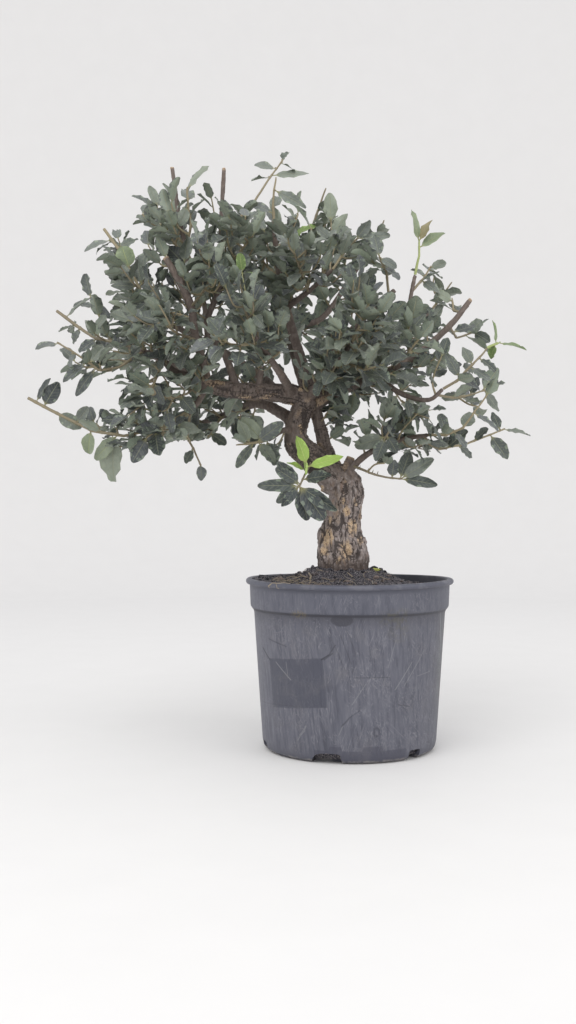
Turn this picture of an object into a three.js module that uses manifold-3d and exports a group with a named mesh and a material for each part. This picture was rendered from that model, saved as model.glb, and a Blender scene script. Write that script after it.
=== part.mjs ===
// Cork oak bonsai that stands in a plastic nursery pot. Millimetres, +Z up.
// The origin is the centre of the pot's underside, with +X to the right and +Y away from the viewer.
import * as THREE from "three";
import { mergeVertices } from "three/addons/utils/BufferGeometryUtils.js";
import Module from "manifold-3d";

const wasm = await Module();
wasm.setup();

// The pot's driving dimensions
const lipRadius = 100;
const potHeight = 162;
const lipDepth = 5;
const collarRadius = 96;
const collarFoot = 136;
const bodyRadius = 92;
const footRadius = 82;
const wall = 2;
const floorThickness = 3;
const potSides = 36;
const notchHeight = 9.5;
const notchWidth = 15;
const tornNotchWidth = 28;
const notchDepth = 24;
const firstNotch = -17;
const notchCount = 6;

// The soil's driving dimensions
const clearance = 0.3;
const soilEdge = 157;
const soilMound = 171;
const soilFallRight = 5;
const soilLump = 1.6;
const moundReach = 30;
const soilSides = 28;
const trunkHoleGap = 0.8;

// The trunk: each row is a height, the sideways place of its middle and its radius. The first two rows are
// the plain foot that stands in the soil.
const trunkRows = [
  [128, -6, 24],
  [168, -6, 24],
  [176, -6.2, 24.4],
  [188, -6.4, 24.2],
  [197, -6.8, 23.4],
  [205, -8, 20.6],
  [219, -6.4, 17.4],
  [232, -4, 16.6],
  [245, -1.8, 16.8],
  [256, -3, 15],
  [264, -5, 12],
  [269, -5.4, 7],
];
const trunkSides = 14;
const bareFoot = 172;
const barkDepth = 0.075;
const spurDepth = 0.05;

// The leaves and twigs
const bladeThickness = 1.4;
const usualLength = 24;
const usualWidth = 14;
const narrowestBlade = 11;
const twigRoot = 1.7;
const twigTip = 1.1;
const twigSides = 3;
const inRow = 7;
const seatStep = 0.2;
const farthestSeat = 24;
const crownMiddle = new THREE.Vector3(-65, 0, 320);
const leafClearance = 0.4;

// The viewpoint that routes are read from: its distance in front of the pot's axis, its height, its place
// to the side, its focal length in pixels and the middle of its frame.
const viewDistance = 1081;
const viewHeight = 226;
const viewSide = -59;
const focalPixels = 1119;
const middleU = 288;
const middleV = 512;

// The point that is seen at pixel (u, v) and lies y behind the pot's axis.
function seen([u, v, y]) {
  const scale = (viewDistance + y) / focalPixels;
  return new THREE.Vector3(viewSide + (u - middleU) * scale, y, viewHeight - (v - middleV) * scale);
}

// The branches of old wood. Each grows on another at a share of its length, unless that is null, and runs
// through places [u, v, y]. The radii are those at its root and its end.
const limbs = {
  left_stem: {
    on: null,
    radii: [12.4, 10.4],
    route: [[338, 482, 0], [313, 459, -2], [298, 445, 0], [296, 430, 2], [300, 415, 4], [309, 399, 6]],
  },
  right_stem: {
    on: null,
    radii: [7, 6.2],
    route: [[340, 478, 6], [327, 453, 10], [322, 435, 12], [317, 415, 12], [312, 399, 10]],
  },
  knob: { on: null, radii: [5.4, 4], route: [[345, 474, -3], [351, 457, -4]] },
  spur: { on: null, radii: [3.4, 2.2], route: [[335, 494, -6], [321, 489, -8]] },
  side_limb: {
    on: ["left_stem", 1],
    radii: [9.8, 6.8],
    route: [[290, 394, 2], [265, 392, -6], [240, 391, -14], [215, 387, -20], [199, 379, -24]],
  },
  low_limb: {
    on: ["left_stem", 0.6],
    radii: [6.8, 2.6],
    route: [[286, 416, 22], [262, 404, 45], [243, 407, 58], [225, 415, 70], [195, 425, 82]],
  },
  left_branch: {
    on: ["side_limb", 1],
    radii: [4.4, 2.2],
    route: [[175, 372, -35], [160, 358, -45], [140, 350, -55]],
  },
  left_back_branch: {
    on: ["side_limb", 0.8],
    radii: [4.4, 2.2],
    route: [[180, 370, 10], [145, 352, 42], [108, 338, 66]],
  },
  cut_branch: {
    on: ["side_limb", 0.88],
    radii: [4.4, 3.4],
    route: [[202, 360, -36], [195, 335, -44], [191, 307, -50], [178, 279, -54], [165, 257, -56]],
  },
  inner_branch: {
    on: ["side_limb", 0.62],
    radii: [4.2, 2.1],
    route: [[225, 355, -8], [207, 324, -14], [222, 282, -20], [221, 235, -20], [224, 168, -20]],
  },
  upper_left_twig: {
    on: ["cut_branch", 0.76],
    radii: [3, 2],
    route: [[187, 254, -48], [180, 223, -47], [172, 167, -46]],
  },
  leader: {
    on: ["left_stem", 1],
    radii: [6.4, 2.4],
    route: [[303, 368, 16], [293, 333, 12], [284, 298, 6], [277, 258, 2], [274, 222, -2]],
  },
  upper_right_branch: {
    on: ["leader", 0.55],
    radii: [3.4, 2.1],
    route: [[308, 292, -8], [332, 270, -18]],
  },
  right_inner_limb: {
    on: ["right_stem", 1],
    radii: [5.4, 2.4],
    route: [[325, 370, -6], [341, 343, -16], [363, 319, -26], [395, 290, -34]],
  },
  right_limb: {
    on: ["right_stem", 0.9],
    radii: [5.8, 2.4],
    route: [
      [345, 388, -3], [380, 376, -14], [402, 365, -20], [428, 346, -26], [454, 321, -30],
      [471, 299, -32],
    ],
  },
  right_upright: {
    on: ["right_limb", 0.56],
    radii: [3, 1.9],
    route: [[409, 336, -22], [410, 303, -23], [415, 275, -24]],
  },
  right_side_branch: {
    on: ["right_limb", 0.32],
    radii: [3, 2],
    route: [[402, 394, -28], [428, 400, -38], [443, 389, -42]],
  },
  right_back_limb: {
    on: ["right_stem", 1],
    radii: [5.4, 2.4],
    route: [[345, 380, 42], [375, 358, 72], [405, 334, 96], [430, 312, 112]],
  },
  right_low_branch: {
    on: null,
    radii: [3.6, 2.1],
    route: [[341, 478, -4], [369, 453, -14], [400, 440, -22], [428, 435, -28]],
  },
  back_limb: {
    on: ["left_stem", 1],
    radii: [6.4, 2.4],
    route: [[300, 372, 52], [291, 342, 88], [282, 306, 112], [276, 272, 128]],
  },
  back_left_limb: {
    on: ["side_limb", 0.3],
    radii: [5.4, 2.4],
    route: [[254, 372, 44], [216, 348, 78], [178, 328, 104], [142, 308, 122]],
  },
  back_right_branch: {
    on: ["back_limb", 0.6],
    radii: [3.8, 2.2],
    route: [[322, 318, 112], [348, 282, 124], [368, 252, 120]],
  },
  back_upper_branch: {
    on: ["back_left_limb", 0.55],
    radii: [3.6, 2.2],
    route: [[204, 304, 92], [192, 262, 96]],
  },
  back_top_branch: {
    on: ["leader", 0.55],
    radii: [3.4, 2.1],
    route: [[298, 272, 36], [312, 228, 56]],
  },
  front_limb: {
    on: ["side_limb", 0.18],
    radii: [4.8, 2.2],
    route: [[282, 376, -38], [268, 356, -74], [254, 335, -102]],
  },
  front_right_limb: {
    on: ["left_stem", 1],
    radii: [4.8, 2.2],
    route: [[320, 382, -34], [336, 364, -70], [352, 342, -98]],
  },
  side_twig: {
    on: ["side_limb", 0.92],
    radii: [3.8, 2.6],
    route: [[200, 399, -28], [188, 414, -34]],
  },
  low_front_branch: {
    on: ["left_stem", 0.5],
    radii: [3.6, 2.4],
    route: [[285, 430, -12], [268, 440, -16]],
  },
  upright_branch: {
    on: ["side_limb", 0.46],
    radii: [3.4, 2.1],
    route: [[261, 368, -12], [259, 340, -18], [250, 300, -26]],
  },
};

// The leafy sprays. Each grows on a limb at a share of its length and its twig runs through places
// [u, v, y]. A leaf that can be made out is [root u, root v, tip u, tip v, width], and more leaves are
// set round the twig by rule: `inRow` of them where no leaf can be made out. A young spray has fresh
// leaves of another colour.
const sprays = {
  top_tip: {
    on: ["inner_branch", 0.8],
    route: [[249, 209, -6], [265, 185, 6], [272, 175, 14], [283, 160, 20]],
    leaves: [
      [276, 169, 255, 163, 8], [283, 160, 288, 152, 6], [281, 163, 296, 169, 7],
      [271, 178, 251, 178, 8], [272, 176, 309, 171, 11],
    ],
    more: 2,
  },
  top_upright: {
    on: ["leader", 1],
    route: [[273, 205, -3], [274, 192, -4], [276, 177, -4]],
    leaves: [[275, 190, 306, 207, 13], [273, 214, 249, 200, 10]],
    more: 4,
  },
  top_middle: {
    on: ["leader", 0.82],
    route: [[290, 236, 16], [298, 214, 26]],
    leaves: [[297, 220, 284, 203, 8], [293, 240, 316, 224, 11]],
    more: 4,
  },
  upper_left: {
    on: ["upper_left_twig", 0.4],
    route: [[191, 228, -58], [188, 206, -62], [187, 188, -63]],
    leaves: [[187, 188, 207, 164, 11], [188, 194, 193, 169, 9], [188, 206, 179, 225, 12]],
    more: 4,
  },
  upper_left_edge: {
    on: ["upper_left_twig", 0.25],
    route: [[172, 238, -20], [160, 222, 4], [157, 206, 16]],
    leaves: [[157, 206, 132, 195, 11], [162, 226, 136, 216, 14], [157, 205, 151, 184, 10]],
    more: 4,
  },
  left_shoulder: {
    on: ["cut_branch", 0.52],
    route: [[168, 312, -46], [143, 294, -24], [122, 254, -6], [104, 229, 6]],
    leaves: [
      [111, 240, 83, 247, 8], [130, 268, 122, 246, 16], [138, 286, 110, 284, 12],
      [118, 248, 138, 238, 11], [150, 300, 128, 318, 12],
    ],
    more: 4,
  },
  left_cut_twig: {
    on: ["left_branch", 0.7],
    route: [[128, 345, -28], [97, 339, -10], [77, 326, 2], [57, 311, 10]],
    leaves: [
      [66, 317, 88, 296, 10], [76, 326, 58, 330, 8], [80, 328, 73, 344, 10],
      [97, 339, 78, 351, 11], [92, 335, 104, 314, 11],
    ],
    more: 4,
  },
  left_middle: {
    on: ["left_branch", 0.95],
    route: [[122, 366, -66], [101, 371, -70], [81, 357, -74], [57, 342, -78]],
    leaves: [
      [58, 343, 35, 348, 8], [74, 352, 68, 366, 10], [90, 364, 102, 345, 13],
      [88, 362, 62, 381, 10], [96, 369, 73, 394, 11],
    ],
    more: 4,
  },
  left_low: {
    on: ["side_twig", 0.8],
    route: [[160, 428, -14], [126, 436, -2], [93, 431, 8], [60, 415, 14], [28, 398, 18]],
    leaves: [
      [44, 406, 57, 382, 18], [37, 402, 50, 378, 10], [56, 413, 80, 428, 16], [76, 422, 88, 407, 12],
      [92, 431, 86, 454, 11], [112, 436, 113, 482, 20],
    ],
    more: 4,
  },
  left_back: {
    on: ["left_back_branch", 1],
    route: [[100, 318, 72], [91, 298, 74]],
    leaves: [[93, 303, 110, 318, 11]],
    more: 4,
  },
  lower_left: {
    on: ["side_twig", 1],
    route: [[176, 424, -44], [160, 428, -54], [146, 438, -60]],
    leaves: [[147, 438, 132, 462, 18], [160, 429, 150, 448, 14], [176, 424, 200, 431, 12]],
    more: 4,
  },
  lower_left_front: {
    on: ["side_limb", 0.97],
    route: [[190, 392, -46], [174, 398, -60], [160, 396, -68]],
    leaves: [[172, 397, 152, 384, 15], [180, 396, 194, 412, 14], [166, 397, 160, 414, 12]],
    more: 4,
  },
  hanging: {
    on: ["side_twig", 0.9],
    route: [[187, 436, -22], [193, 448, -22], [201, 466, -22]],
    leaves: [[193, 449, 184, 462, 9], [200, 464, 203, 480, 9]],
    more: 2,
  },
  low_front: {
    on: ["low_front_branch", 1],
    route: [[254, 443, -20], [236, 445, -26]],
    leaves: [
      [250, 443, 239, 420, 13], [256, 442, 283, 422, 16], [254, 443, 235, 467, 11],
      [258, 442, 276, 462, 13],
    ],
    more: 3,
  },
  low_back: {
    on: ["low_limb", 0.8],
    route: [[214, 426, 58], [208, 438, 54]],
    leaves: [[220, 419, 205, 418, 10], [212, 434, 226, 444, 11]],
    more: 4,
  },
  trunk_front: {
    on: ["left_stem", 0.2],
    route: [[306, 472, -32], [299, 487, -44]],
    leaves: [
      [299, 486, 258, 484, 14], [300, 487, 337, 510, 15], [300, 487, 308, 521, 18],
      [303, 480, 331, 475, 14], [300, 484, 276, 468, 12], [299, 486, 281, 506, 12],
    ],
    more: 1,
  },
  front_shoot: {
    young: true,
    on: ["left_stem", 0.3],
    route: [[306, 474, -46], [307, 464, -54]],
    leaves: [[307, 464, 297, 436, 17], [307, 467, 343, 456, 12], [306, 470, 287, 462, 9]],
    more: 0,
  },
  upper_right: {
    on: ["upper_right_branch", 1],
    route: [[342, 256, -12], [348, 247, -4], [358, 238, 4]],
    leaves: [[357, 239, 390, 234, 11], [356, 240, 370, 220, 12], [345, 252, 334, 262, 10]],
    more: 4,
  },
  upper_right_edge: {
    on: ["upper_right_branch", 0.8],
    route: [[331, 252, 4], [332, 238, 18], [331, 222, 28]],
    leaves: [[331, 222, 330, 192, 15], [332, 236, 347, 213, 15], [332, 240, 317, 226, 11]],
    more: 4,
  },
  new_leaves: {
    young: true,
    on: ["right_upright", 1],
    route: [[419, 256, -26], [419, 241, -27]],
    leaves: [[418, 242, 413, 209, 11], [419, 241, 431, 219, 11], [419, 248, 444, 230, 10]],
    more: 1,
  },
  right_upper: {
    on: ["right_upright", 0.8],
    route: [[424, 278, -8], [431, 266, 8]],
    leaves: [[430, 268, 446, 262, 10], [422, 281, 440, 292, 13]],
    more: 4,
  },
  right_inner: {
    on: ["right_inner_limb", 0.95],
    route: [[387, 274, -40], [379, 257, -45]],
    leaves: [[379, 258, 397, 266, 11], [383, 266, 400, 279, 9], [384, 268, 368, 262, 11]],
    more: 4,
  },
  right_end: {
    on: ["right_limb", 0.9],
    route: [[454, 312, -18], [452, 298, -4]],
    leaves: [[450, 302, 437, 292, 13], [452, 311, 469, 306, 10]],
    more: 4,
  },
  right_edge: {
    on: ["right_limb", 0.8],
    route: [[456, 338, 0], [474, 332, 18]],
    leaves: [[468, 334, 482, 320, 14], [473, 332, 490, 341, 13]],
    more: 4,
  },
  right_side: {
    on: ["right_side_branch", 1],
    route: [[457, 381, -46], [467, 370, -48], [481, 356, -50], [487, 348, -51]],
    leaves: [
      [479, 358, 497, 369, 10], [470, 367, 492, 378, 10], [460, 378, 482, 388, 10],
      [460, 378, 447, 354, 13], [472, 365, 463, 346, 12],
    ],
    more: 4,
  },
  right_shoot: {
    young: true,
    on: ["right_side", 1],
    route: [[493, 345, -52], [499, 343, -53]],
    leaves: [[496, 344, 495, 320, 9], [499, 343, 527, 346, 9], [495, 344, 490, 359, 10]],
    more: 0,
  },
  right_middle: {
    on: ["right_side_branch", 0.85],
    route: [[452, 398, -14], [470, 395, 10], [488, 389, 26]],
    leaves: [[488, 389, 505, 382, 10], [484, 391, 500, 411, 11], [470, 395, 478, 377, 11]],
    more: 4,
  },
  right_low: {
    on: ["right_low_branch", 1],
    route: [[446, 435, -34], [463, 428, -40], [475, 411, -44], [487, 395, -46]],
    leaves: [[474, 413, 500, 428, 11], [446, 435, 441, 413, 11], [454, 432, 468, 446, 10]],
    more: 4,
  },
  lowest_right: {
    on: ["right_low_branch", 0.85],
    route: [[437, 449, 4], [466, 444, 24], [492, 434, 34], [504, 429, 38]],
    leaves: [
      [504, 429, 531, 433, 9], [500, 431, 494, 411, 10], [490, 435, 508, 459, 15],
      [474, 441, 488, 428, 10], [458, 446, 474, 456, 10],
    ],
    more: 4,
  },
  right_pale: {
    on: ["right_low_branch", 0.3],
    route: [[366, 471, -24], [384, 477, -30], [402, 479, -34]],
    leaves: [
      [392, 478, 394, 460, 12], [400, 479, 410, 451, 16], [402, 479, 433, 458, 14],
      [401, 479, 438, 483, 13],
    ],
    more: 1,
  },
  right_dark: {
    on: ["right_low_branch", 0.5],
    route: [[384, 440, -34], [390, 430, -44]],
    leaves: [[386, 438, 376, 461, 14], [386, 437, 354, 446, 16], [387, 436, 398, 452, 13]],
    more: 4,
  },
  front_peak: { on: ["front_limb", 1], route: [[247, 315, -113], [240, 298, -118]] },
  front_left: { on: ["front_limb", 0.85], route: [[232, 345, -110], [214, 336, -119]] },
  back_centre: { on: ["back_limb", 0.5], route: [[262, 356, 70], [244, 344, 84]] },
  front_middle: { on: ["front_right_limb", 1], route: [[361, 322, -106], [369, 304, -110]] },
  left_inner: { on: ["left_back_branch", 0.6], route: [[150, 330, 62], [140, 312, 74]] },
  front_low: { on: ["front_right_limb", 0.75], route: [[362, 370, -96], [380, 366, -104]] },
  cut_front: { on: ["cut_branch", 0.6], route: [[206, 288, -80], [214, 266, -92]] },
  cut_left: { on: ["cut_branch", 0.36], route: [[178, 334, -82], [162, 322, -96]] },
  dome_left: { on: ["inner_branch", 0.65], route: [[240, 252, -54], [253, 236, -68]] },
  dome_right: { on: ["upper_right_branch", 0.5], route: [[301, 272, -50], [294, 252, -72]] },
  back_dome: { on: ["leader", 0.7], route: [[262, 262, 46], [250, 240, 70]] },
  right_front: { on: ["right_inner_limb", 0.6], route: [[374, 334, -68], [388, 320, -86]] },
  right_outer: { on: ["right_limb", 0.6], route: [[408, 352, -62], [420, 338, -78]] },
  back_under: { on: ["right_back_limb", 0.55], route: [[390, 385, 98], [402, 402, 110]] },
  left_outer: { on: ["left_branch", 0.6], route: [[154, 384, -78], [140, 394, -92]] },
  back_peak: { on: ["back_limb", 1], route: [[270, 250, 138], [262, 232, 142]] },
  back_middle: { on: ["back_limb", 0.85], route: [[252, 292, 138], [232, 284, 150]] },
  back_low: { on: ["back_limb", 0.65], route: [[312, 340, 132], [328, 334, 148]] },
  back_right: { on: ["back_right_branch", 1], route: [[378, 236, 112], [384, 220, 106]] },
  back_right_end: { on: ["right_back_limb", 1], route: [[442, 296, 112], [452, 282, 108]] },
  back_right_low: { on: ["right_back_limb", 0.8], route: [[425, 352, 112], [442, 362, 116]] },
  back_left_end: { on: ["back_left_limb", 1], route: [[128, 292, 120], [118, 274, 116]] },
  back_left_low: { on: ["back_left_limb", 0.75], route: [[170, 352, 128], [150, 366, 138]] },
  back_left_top: { on: ["back_upper_branch", 1], route: [[182, 238, 92], [174, 216, 84]] },
  back_lowest: { on: ["low_limb", 1], route: [[178, 428, 88], [160, 422, 96]] },
  back_top: { on: ["back_top_branch", 1], route: [[320, 205, 58], [326, 188, 54]] },
};

const material = {
  pot: new THREE.MeshStandardMaterial({ color: 0x6a6e79, roughness: 0.62, metalness: 0 }),
  soil: new THREE.MeshStandardMaterial({ color: 0x2e2823, roughness: 0.95, metalness: 0 }),
  bark: new THREE.MeshStandardMaterial({ color: 0x6f604f, roughness: 0.9, metalness: 0 }),
  leaf: new THREE.MeshStandardMaterial({ color: 0x4c5a50, roughness: 0.55, metalness: 0 }),
  youngLeaf: new THREE.MeshStandardMaterial({ color: 0x8aa850, roughness: 0.5, metalness: 0 }),
};

// A closed geometry as a solid that can be joined and cut, and a solid as a geometry.
function solidOf(geometry) {
  const bare = geometry.clone();
  bare.deleteAttribute("normal");
  bare.deleteAttribute("uv");
  const merged = mergeVertices(bare, 1e-4);
  return new wasm.Manifold(
    new wasm.Mesh({
      numProp: 3,
      vertProperties: merged.attributes.position.array,
      triVerts: new Uint32Array(merged.index.array),
    }),
  );
}

function geometryOf(solid) {
  const { vertProperties, triVerts, numProp } = solid.getMesh();
  const position = new Float32Array((vertProperties.length / numProp) * 3);
  for (let i = 0; i < position.length / 3; i += 1) {
    position.set(vertProperties.subarray(i * numProp, i * numProp + 3), i * 3);
  }
  const geometry = new THREE.BufferGeometry();
  geometry.setAttribute("position", new THREE.BufferAttribute(position, 3));
  geometry.setIndex(new THREE.BufferAttribute(triVerts, 1));
  return geometry;
}

// The outer body of a joined solid: what joining has sealed inside it is filled.
function filled(solid) {
  return solid.decompose().reduce((most, part) => (part.volume() > most.volume() ? part : most));
}

// A smooth curve through places, even in its parameter from one place to the next.
function curveThrough(places) {
  return new THREE.CatmullRomCurve3(places, false, "catmullrom", 0.5);
}

// The unit vector along a curve.
function directionAt(curve, share) {
  const step = 0.002;
  const before = curve.getPoint(Math.max(share - step, 0));
  const after = curve.getPoint(Math.min(share + step, 1));
  return after.sub(before).normalize();
}

// Two unit vectors square to a direction: one level where it can be, and the one above it.
function squareTo(direction) {
  const reference = Math.abs(direction.z) < 0.9 ? new THREE.Vector3(0, 0, 1) : new THREE.Vector3(1, 0, 0);
  const side = new THREE.Vector3().crossVectors(direction, reference).normalize();
  return [side, new THREE.Vector3().crossVectors(side, direction)];
}

// A round rod with flat ends, bent along a curve from one share of it to another. Its radius is a
// function of the share of the rod's own length and of the angle round it.
function rod(curve, from, to, radiusAt, sides, steps) {
  const geometry = new THREE.CylinderGeometry(1, 1, 1, sides, steps);
  const rings = [];
  let side = null;
  for (let step = 0; step <= steps; step += 1) {
    const share = from + ((to - from) * step) / steps;
    const direction = directionAt(curve, share);
    side = side ? side.addScaledVector(direction, -side.dot(direction)).normalize() : squareTo(direction)[0];
    rings.push({
      middle: curve.getPoint(share),
      side: side.clone(),
      front: new THREE.Vector3().crossVectors(direction, side).negate(),
    });
  }
  const position = geometry.attributes.position;
  for (let i = 0; i < position.count; i += 1) {
    const along = position.getY(i) + 0.5;
    const ring = rings[Math.round(along * steps)];
    const radius = radiusAt(along, Math.atan2(position.getZ(i), position.getX(i)));
    const place = ring.middle.clone();
    place.addScaledVector(ring.side, position.getX(i) * radius);
    place.addScaledVector(ring.front, position.getZ(i) * radius);
    position.setXYZ(i, place.x, place.y, place.z);
  }
  return solidOf(geometry);
}

// The pot, turned about its axis, with drainage notches cut through the foot
function makePot() {
  const bodyTop = collarFoot - 4;
  const bodyFoot = 9;
  const profile = [
    [0, 0],
    [footRadius - 5, 0],
    [footRadius, 2.5],
    [footRadius + 1.5, bodyFoot],
    [bodyRadius, bodyTop],
    [collarRadius - 0.6, collarFoot],
    [collarRadius + 0.4, potHeight - lipDepth],
    [lipRadius - 1, potHeight - lipDepth],
    [lipRadius, potHeight - lipDepth + 1.5],
    [lipRadius, potHeight - 1.5],
    [lipRadius - 1.5, potHeight],
    [collarRadius - wall, potHeight],
    [collarRadius - wall - 0.5, collarFoot],
    [bodyRadius - wall, bodyTop - 1],
    [footRadius - wall, floorThickness + 4],
    [footRadius - wall - 4, floorThickness],
    [0, floorThickness],
  ].map(([radius, height]) => new THREE.Vector2(radius, height));
  let pot = solidOf(new THREE.LatheGeometry(profile, potSides).rotateX(Math.PI / 2));
  for (let i = 0; i < notchCount; i += 1) {
    const width = i === 0 ? tornNotchWidth : notchWidth;
    const notch = new THREE.BoxGeometry(width, notchDepth, 2 * notchHeight);
    notch.translate(0, -footRadius, 0);
    notch.rotateZ(THREE.MathUtils.degToRad(firstNotch + (i * 360) / notchCount));
    pot = pot.subtract(solidOf(notch));
  }
  return pot;
}

// The soil's surface: a mound at the trunk that falls to the wall, lower on the right, and lumpy.
function soilHeight(x, y) {
  const [, , trunkFoot] = trunkRows[0];
  const away = (Math.hypot(x, y) - trunkFoot + 4) / moundReach;
  const mound = (soilMound - soilEdge) * Math.exp(-(away ** 2));
  const fall = (-soilFallRight * x) / lipRadius;
  const coarse = Math.sin(x * 0.21 + 1) * Math.cos(y * 0.17);
  const fine = Math.sin(x * 0.09 - y * 0.26);
  return soilEdge + mound + fall + soilLump * (coarse + 0.6 * fine);
}

// The soil: one body that fills the pot, with a plain hole that the trunk's foot stands in
function makeSoil() {
  const [holeFloor, holeMiddle, trunkFoot] = trunkRows[0];
  const hole = trunkFoot + trunkHoleGap;
  const foot = floorThickness + clearance;
  const wallFoot = floorThickness + 6;
  const wallTop = collarFoot - 6;
  const radiusAt = (height) => {
    const share = (height - floorThickness - 4) / (collarFoot - 9 - floorThickness);
    return footRadius - wall + (bodyRadius - footRadius) * share - 1;
  };
  const top = collarRadius - wall - 1.6;
  const rings = [top, top - 8, top - 20, top - 34, top - 46, hole + 10, hole + 2, 0];
  const profile = [
    [0, foot],
    [footRadius - wall - 6, foot],
    [radiusAt(wallFoot), wallFoot],
    [radiusAt(wallTop), wallTop],
    [top, collarFoot + 2],
    ...rings.map((radius) => [radius, soilEdge]),
  ].map(([radius, height]) => new THREE.Vector2(radius, height));
  const geometry = new THREE.LatheGeometry(profile, soilSides).rotateX(Math.PI / 2);
  const position = geometry.attributes.position;
  const onTop = (collarFoot + soilEdge) / 2;
  for (let i = 0; i < position.count; i += 1) {
    if (position.getZ(i) > onTop) {
      position.setZ(i, soilHeight(position.getX(i), position.getY(i)));
    }
  }
  const depth = soilMound - holeFloor + 2 * trunkFoot;
  const core = new THREE.CylinderGeometry(hole, hole, depth, soilSides).rotateX(Math.PI / 2);
  core.translate(holeMiddle, 0, holeFloor - clearance + depth / 2);
  return solidOf(geometry).subtract(solidOf(core));
}

// The trunk's bark stands in ridges that wander as they climb. They fade out at the foot in the soil.
function barkRelief(height, angle) {
  const shown = THREE.MathUtils.smoothstep(height, bareFoot, bareFoot + 14);
  const ridges = Math.cos(5 * angle + 1.8 * Math.sin(height / 17)) * Math.cos(height / 11 + 2 * angle);
  const flakes = Math.cos(8 * angle - height / 7);
  return 1 + shown * (barkDepth * ridges + spurDepth * flakes);
}

function makeTrunk() {
  const steps = trunkRows.length - 1;
  const curve = curveThrough(trunkRows.map(([height, side]) => new THREE.Vector3(side, 0, height)));
  const radiusAt = (along, angle) => {
    const [height, , radius] = trunkRows[Math.round(along * steps)];
    return radius * barkRelief(height, angle);
  };
  return rod(curve, 0, 1, radiusAt, trunkSides, steps);
}

// Every limb and spray has a curve and a radius at each share of it.
const grown = {};

function grow(name, { on, radii, route }) {
  const places = route.map(seen);
  if (on) {
    places.unshift(grown[on[0]].curve.getPoint(on[1]));
  }
  const curve = curveThrough(places);
  const radiusAt = (share) => radii[0] + (radii[1] - radii[0]) * share;
  grown[name] = { curve, radiusAt, steps: places.length - 1 };
  return grown[name];
}

// All solids that a leaf has to keep clear of, with their boxes and their owners
const obstacles = [];

function addObstacle(solid, owner) {
  obstacles.push({ solid, owner, box: solid.boundingBox() });
}

function boxesMeet(a, b) {
  return [0, 1, 2].every((axis) => a.min[axis] < b.max[axis] && b.min[axis] < a.max[axis]);
}

function meets(solid, owner) {
  const box = solid.boundingBox();
  return obstacles.some(
    (other) =>
      other.owner !== owner && boxesMeet(box, other.box) && other.solid.intersect(solid).volume() > 0,
  );
}

// A thick limb has more sides than a thin one.
function sidesFor(radius) {
  if (radius > 9) {
    return 8;
  }
  return radius > 5 ? 5 : 4;
}

// Old wood: the trunk and its limbs, joined
let wood = makeTrunk();
addObstacle(wood, "tree");
for (const [name, limb] of Object.entries(limbs)) {
  const { curve, radiusAt, steps } = grow(name, limb);
  const sides = sidesFor(limb.radii[0]);
  const solid = rod(curve, 0, 1, radiusAt, sides, steps);
  wood = wood.add(solid);
  addObstacle(solid, "tree");
}

// The share of a curve at which it has come a given distance from its start
function shareAt(curve, distance) {
  const start = curve.getPoint(0);
  const step = 0.002;
  for (let share = step; share < 1; share += step) {
    if (curve.getPoint(share).distanceTo(start) >= distance) {
      return share;
    }
  }
  return 1;
}

// The twig of each spray. It starts on the surface of the limb that it grows from, or at the flat end of
// the limb or twig that it prolongs, just clear of it.
const twigs = {};
for (const [name, spray] of Object.entries(sprays)) {
  const { curve, radiusAt, steps } = grow(name, { ...spray, radii: [twigRoot, twigTip] });
  const twigFrom = (start) => {
    const radiusFrom = (share) => radiusAt(start + (1 - start) * share);
    return rod(curve, start, 1, radiusFrom, twigSides, steps);
  };
  let distance = seatStep;
  while (meets(twigFrom(shareAt(curve, distance)), name) && distance < farthestSeat) {
    distance += seatStep;
  }
  const start = shareAt(curve, distance + clearance);
  twigs[name] = { twig: twigFrom(start), start };
  addObstacle(twigs[name].twig, name);
}

// The middle of a spray's twig at a share of its curve: the twig runs straight from ring to ring.
function twigMiddle(name, share) {
  const { curve, steps } = grown[name];
  const { start } = twigs[name];
  const ringSpan = (1 - start) / steps;
  const ring = Math.min(Math.floor((share - start) / ringSpan), steps - 1);
  const from = start + ring * ringSpan;
  const into = (share - from) / ringSpan;
  return curve.getPoint(from).lerp(curve.getPoint(Math.min(from + ringSpan, 1)), into);
}

// A seeded stream of numbers from 0 to 1.
function stream(seed) {
  let state = seed;
  return () => {
    state = (state * 1664525 + 1013904223) % 4294967296;
    return state / 4294967296;
  };
}

// A leathery leaf: a closed lens that is thickest along its rib. Its outline of eight points is waved and
// toothed beyond the flat root, its sides are lifted or lowered there by its fold, and it droops towards
// its tip. Both faces are split into the same triangles, but for the flat underside of the root. Points
// are [share of length, share of half width, wave].
const outline = [
  [0, 0, 0], [0.27, -0.68, 0], [0.55, -1, -1], [0.82, -0.72, 1],
  [1, 0, 0], [0.88, 0.56, -1], [0.61, 0.96, 1], [0.32, 0.74, 0],
];
const ribs = [0.16, 0.64];
const rootAbove = 8;
const ribAbove = 9;
const ribBelow = 10;
const beyondRoot = [1, 2, 3, 4, 5, 6];
const faces = [
  [0, 1, rootAbove], [rootAbove, 1, ribAbove], [ribAbove, 7, rootAbove], [7, 0, rootAbove],
  ...beyondRoot.map((index) => [index, index + 1, ribAbove]),
  [0, 7, 1], [1, 7, ribBelow],
  ...beyondRoot.map((index) => [index + 1, index, ribBelow]),
];

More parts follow.
